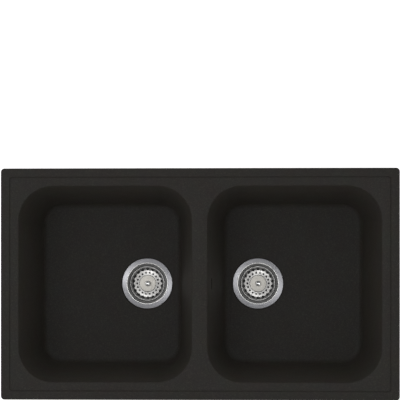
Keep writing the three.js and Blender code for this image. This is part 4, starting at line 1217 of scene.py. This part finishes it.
# %% Overflow hose
CUFF = 12
ROUTE = [(0, -72.3), (0, INLET_Z, 40), (63.2, INLET_Z)]
bend = ROUTE[1][2]
hose_length = ROUTE[0][1] - ROUTE[1][1] + ROUTE[2][0] + (math.pi / 2 - 2) * bend
RIB_PITCH = 5  # about, as a whole number of ribs fills the hose
ribs = int((hose_length - 2 * CUFF) / RIB_PITCH)
pitch = (hose_length - 2 * CUFF) / ribs
valley, ridge = (9, 10.5)
rib_outline = [
    (valley, 0),
    (valley, 0.3 * pitch, 0.5),
    (ridge, 0.45 * pitch, 0.5),
    (ridge, 0.85 * pitch, 0.5),
    (valley, pitch),
]
hose = drawn(rib_outline)
modify(
    hose,
    "ARRAY",
    count=ribs,
    use_relative_offset=False,
    use_constant_offset=True,
    constant_offset_displace=mm(0, 0, pitch),
    use_merge_vertices=True,
    merge_threshold=1e-5,
)
edit(hose)
for height, way in ((0, -1), (ribs * pitch, 1)):
    pick(hose, "VERT", lambda co: abs(co.z - height) < 0.01)
    for stroke in (mm(ridge - valley, 0, 0.2 * way), mm(0, 0, (CUFF - 0.2) * way)):
        bpy.ops.mesh.extrude_vertices_move(TRANSFORM_OT_translate={"value": stroke})
select_all()
bpy.ops.transform.translate(value=mm(0, 0, CUFF))
spun(hose, 32, 0)
modify(hose, "SOLIDIFY", thickness=mm(1.2), offset=-1, use_even_offset=True)
route = drawn(ROUTE, steps=24)
only(route)
bpy.ops.object.convert(target="CURVE")
modify(hose, "CURVE", object=route, deform_axis="POS_Z")
delete(route)
finish_piece(hose, "ribbed_hose", "sink", "overflow_hose", "grey_plastic", grey_plastic)
print(f"hose {hose_length:.1f} mm long, {ribs} ribs")

# %% Hose nuts
nut = turned([(10.8, -9, 0.6), (13.2, -9, 0.8), (13.2, 9, 0.8), (10.8, 9, 0.6)], 60)
combine(nut, wreath(peg(2, -6.5, 10, 14.4), 10))
lower_nut = copy_of(nut, move(63.5, 0, INLET_Z) @ turn(90, axis="Y"))
apply_place(nut, move(z=-72))
for end, piece in (("upper", nut), ("lower", lower_nut)):
    name, node = f"{end}_fluted_nut", f"{end}_hose_nut"
    finish_piece(piece, name, "sink", node, "white_plastic", white_plastic)

# %% [markdown]
# ## Clamps
#
# Each clamp is a bent steel clip on a long screw, driven up into the boss from below. At rest the
# clips lie along the rim, so that the sink drops into its cut-out. They swing out under the
# worktop, where the upturned tip with its three notches bites.

# %% Clip
CLIP_WIDTH, CLIP_BEND = 14, 2.5
TIP_X, TIP_Z, FOOT_Z = 31, -30, -34
clip = drawn([(-6, -14.3), (-6, FOOT_Z, CLIP_BEND), (TIP_X, FOOT_Z, CLIP_BEND), (TIP_X, TIP_Z)])
select_all()
bpy.ops.mesh.extrude_edges_move(TRANSFORM_OT_translate={"value": mm(0, CLIP_WIDTH, 0)})
select_all()
bpy.ops.transform.translate(value=mm(0, -CLIP_WIDTH / 2, 0))
face_outwards()
modify(clip, "SOLIDIFY", thickness=mm(2), offset=0, use_even_offset=True)
round_edges(clip, 0.3)
combine(clip, peg(CLAMP_SCREW_RADIUS + HOLE_GAP, FOOT_Z - 3, FOOT_Z + 3))
for y in (-3.6, 0, 3.6):
    notch = block((TIP_X, 0, 0), (6, 1.7, 1.7))
    apply_place(notch, move(0, y, TIP_Z) @ turn(45, axis="X"))
    combine(clip, notch)
print("clip:", len(clip.data.polygons), "faces")

# %% Clamp screw
clamp_screw_outline = [
    (0, -38.8),
    (4.2, -38.8, 0.6),
    (5, -37.8, 0.4),
    (5, -35.3, 0.3),
    (2.1, -35.3),
    (2.1, 0.6),
    (1.3, CLAMP_SCREW_TOP),
    (0, CLAMP_SCREW_TOP),
]
clamp_screw = turned(clamp_screw_outline, 32)
cross_recess(clamp_screw, -38.8, 5.6, 1.1, 3.4)
clamp_screw = joined([clamp_screw, thread(CLAMP_SCREW_RADIUS, 0.45, 0.8, -34.8, 0.8, 16)])
print("clamp screw:", len(clamp_screw.data.polygons), "faces")

# %% Eight clamps
clamp_pieces = (
    (clip, "bent_clip", "clamp_clip", "clip"),
    (clamp_screw, "long_screw", "clamp_screw", "clip_screw"),
)
for number, (x, y, outward) in enumerate(CLAMPS, 1):
    place = move(x, y) @ turn(outward - 90)
    for piece, name, rides_on, node in clamp_pieces:
        name = f"clamp_{number}_{name}"
        rides_on, node = f"{rides_on}_{number}", f"{node}_{number}"
        finish_piece(copy_of(piece, place), name, rides_on, node, "zinc_steel", zinc)
delete(clip, clamp_screw)

# %% [markdown]
# ## Finish
#
# The boxes of the CAD model and of the finished one are printed, one under the other.

# %% Finish
size = {"cad": cad_box, "visual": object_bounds()}
for name, corners in size.items():
    size[name] = [list(corner) for corner in corners]
    print(name, [[round(1000 * c, 1) for c in corner] for corner in corners])
